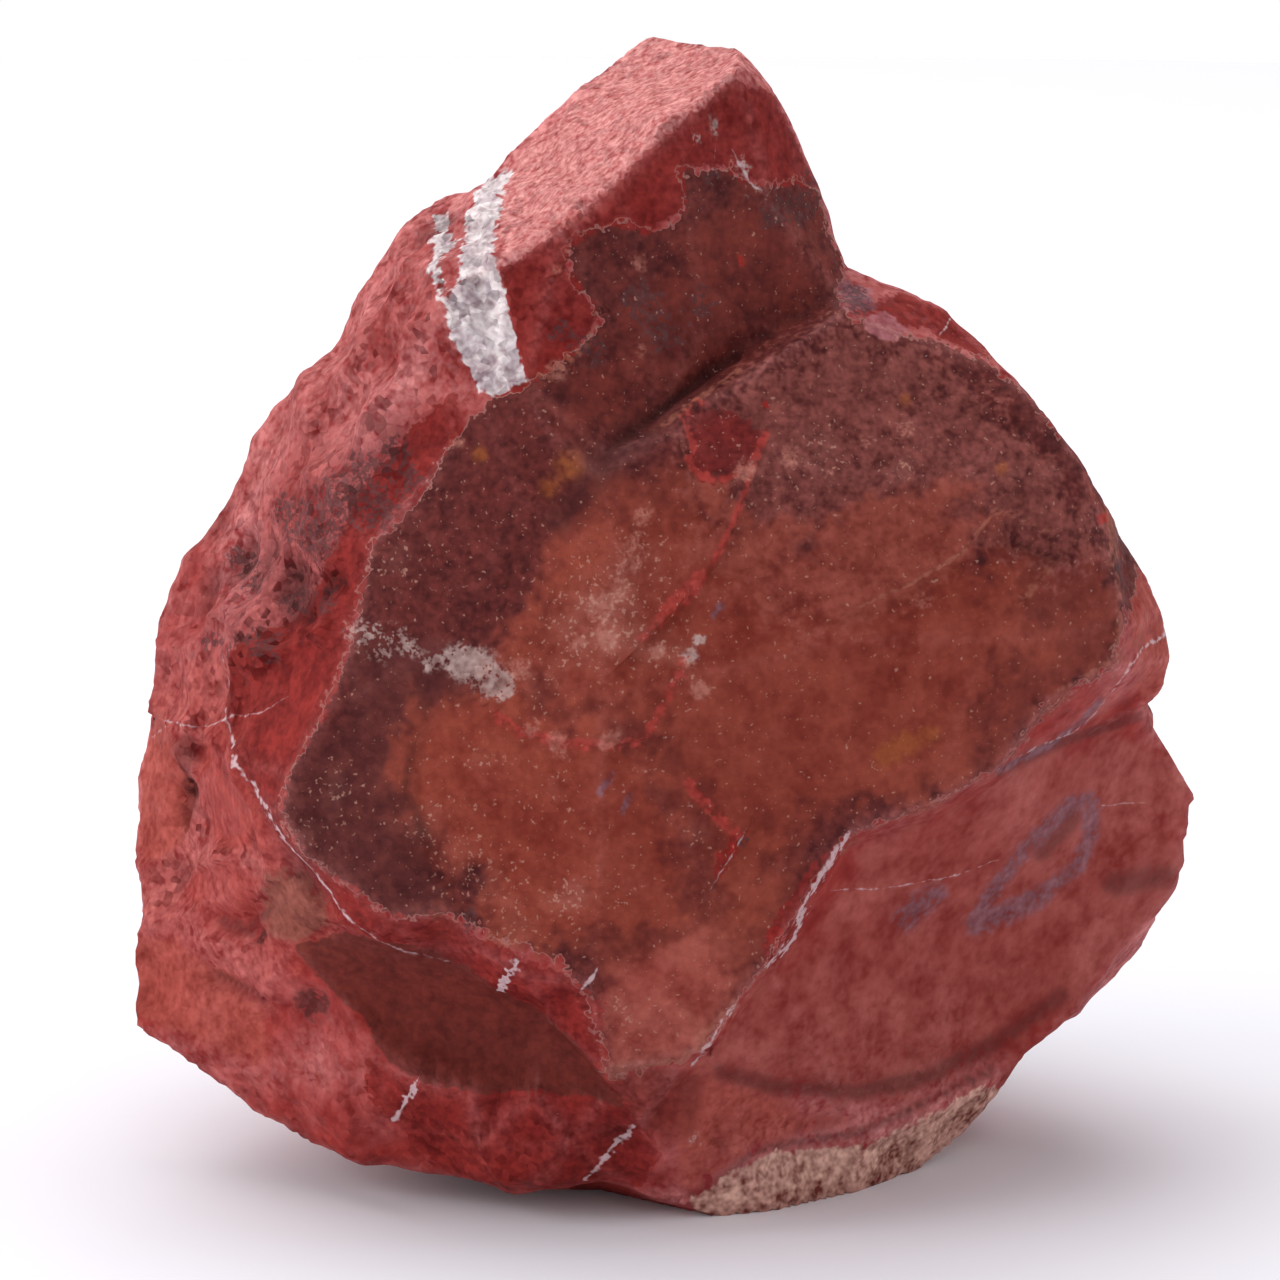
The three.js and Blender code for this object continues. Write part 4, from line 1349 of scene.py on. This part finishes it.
class StageSettings(bpy.types.PropertyGroup):
    """Sizes, colours and light of the stage."""
    floor_radius: bpy.props.FloatProperty(
        name="Floor radius", description="Radius of the round floor", default=0.7, min=0.2, unit="LENGTH")
    floor: bpy.props.FloatVectorProperty(
        name="Floor", description="White card under the stone", subtype="COLOR", size=4,
        default=linear("EAE9F0"))
    daylight: bpy.props.FloatProperty(
        name="Ambient", description="Strength of the light that the white tent sends from all around",
        default=0.35, min=0.0)


class JASPER_OT_stone(bpy.types.Operator):
    """Makes the stone on its cage of corners, in place of the CAD solid"""
    bl_idname = "jasper.stone"
    bl_label = "Red jasper"

    def execute(self, context):
        settings = context.scene.jasper
        scale = settings.height / (DRAWN_HEIGHT * MM)
        points, fields = stone_surface(settings.rows, settings.columns)
        piece = grid_mesh("jasper", points * scale, settings.rows, settings.columns)
        store_fields(piece.data, fields)
        names = ("deep", "red", "rose", "salmon", "dust", "fleck", "vein", "dirt_and_shade")
        piece.data.materials.append(jasper_material({name: getattr(settings, name) for name in names}))
        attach(piece, "root")
        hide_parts(NODE)
        return {"FINISHED"}


# Thickness of the floor in millimetres, and how far the camera sees, in metres.
FLOOR_THICKNESS = 4.0
FAR_CLIP = 20.0
# Soft lamps of the tent: name, place and size in metres, power in watts, all aimed at the stone.
LAMPS = [
    ("roof", (-0.20, 0.45, 1.15), (1.6, 1.6), 18.0),
    ("left", (-0.80, -0.25, 0.35), (0.6, 0.6), 4.4),
    ("right", (0.80, -0.10, 0.30), (0.6, 0.6), 1.6),
    ("front", (0.10, -0.90, 0.60), (0.6, 0.5), 1.0),
]


class JASPER_OT_stage(bpy.types.Operator):
    """Makes the pale floor, the soft studio light and the camera"""
    bl_idname = "jasper.stage"
    bl_label = "Stage"

    def execute(self, context):
        settings = context.scene.jasper_stage
        self.make_floor(settings)
        self.make_light(context, settings)
        self.make_camera(context)
        return {"FINISHED"}

    def make_floor(self, settings):
        """A round flat floor: radius times cosine and sine on a ring grid, closed as a thin slab."""
        columns = 96
        radii = np.array([0.3, 1.0, 1.0, 0.3]) * settings.floor_radius / MM
        heights = np.array([0.0, 0.0, -FLOOR_THICKNESS, -FLOOR_THICKNESS])
        turn = np.linspace(0, 2 * math.pi, columns, endpoint=False)
        ring = np.stack([np.outer(radii, np.cos(turn)), np.outer(radii, np.sin(turn)),
                         np.outer(heights, np.ones(columns))], axis=-1)
        floor = grid_mesh("floor", ring.reshape(-1, 3), len(radii), columns)
        floor.data.polygons.foreach_set("use_smooth", np.zeros(len(floor.data.polygons), dtype=bool))
        floor.data.materials.append(board_material(settings.floor))

    def make_light(self, context, settings):
        """A white surround seen by the camera at full strength, and four large soft lamps."""
        world = bpy.data.worlds.new("white_tent")
        world.use_nodes = True
        tree = world.node_tree
        tree.nodes.clear()
        camera_ray = add(tree, "ShaderNodeLightPath", output="Is Camera Ray")
        strength = add(tree, MIX, {"Factor": camera_ray, 2: settings.daylight, 3: 1.0})
        glow = add(tree, "ShaderNodeBackground", {"Color": (1.0, 1.0, 1.0, 1.0), "Strength": strength})
        add(tree, "ShaderNodeOutputWorld", {"Surface": glow}, output=None)
        context.scene.world = world
        target = CAMERA_TARGET * MM
        for name, place, size, power in LAMPS:
            light = bpy.data.lights.new(name, "AREA")
            light.shape = "RECTANGLE"
            light.size, light.size_y = size
            light.energy = power
            lamp = bpy.data.objects.new(name, light)
            lamp.matrix_world = facing_matrix(np.array(place), target)
            context.scene.collection.objects.link(lamp)

    def make_camera(self, context):
        """The lens that shows the picture's width at the camera's distance."""
        lens = bpy.data.cameras.new("camera")
        lens.sensor_width = SENSOR
        lens.lens = SENSOR * CAMERA_DISTANCE / PICTURE_WIDTH
        lens.clip_end = FAR_CLIP
        camera = bpy.data.objects.new("camera", lens)
        eye = (CAMERA_TARGET + FRONT * CAMERA_DISTANCE) * MM
        camera.matrix_world = facing_matrix(eye, CAMERA_TARGET * MM)
        context.scene.collection.objects.link(camera)
        context.scene.camera = camera
        context.scene.view_settings.view_transform = "Standard"


def facing_matrix(place, target):
    """Turns an object's -Z from its place towards a target, with its Y kept upwards."""
    back = (place - target) / np.linalg.norm(place - target)
    side = np.cross([0, 0, 1], back)
    side /= np.linalg.norm(side)
    columns = np.column_stack([side, np.cross(back, side), back, place])
    return Matrix(np.vstack([columns, [0, 0, 0, 1]]).tolist())


class JASPER_PT_panel(bpy.types.Panel):
    """Lists the stone's and the stage's operators and settings"""
    bl_idname = "JASPER_PT_panel"
    bl_label = "Rough red jasper"
    bl_space_type = "VIEW_3D"
    bl_region_type = "UI"
    bl_category = "Jasper"

    def draw(self, context):
        layout = self.layout
        scene = context.scene
        for group, operator in ((scene.jasper, JASPER_OT_stone), (scene.jasper_stage, JASPER_OT_stage)):
            for name in group.__annotations__:
                layout.prop(group, name)
            layout.operator(operator.bl_idname)


CLASSES = (JasperSettings, StageSettings, JASPER_OT_stone, JASPER_OT_stage, JASPER_PT_panel)


def register():
    for cls in CLASSES:
        bpy.utils.register_class(cls)
    bpy.types.Scene.jasper = bpy.props.PointerProperty(type=JasperSettings)
    bpy.types.Scene.jasper_stage = bpy.props.PointerProperty(type=StageSettings)


def unregister():
    del bpy.types.Scene.jasper_stage
    del bpy.types.Scene.jasper
    for cls in reversed(CLASSES):
        bpy.utils.unregister_class(cls)


def main():
    register()
    bpy.ops.jasper.stage()
    bpy.ops.jasper.stone()


if __name__ == "__main__":
    main()
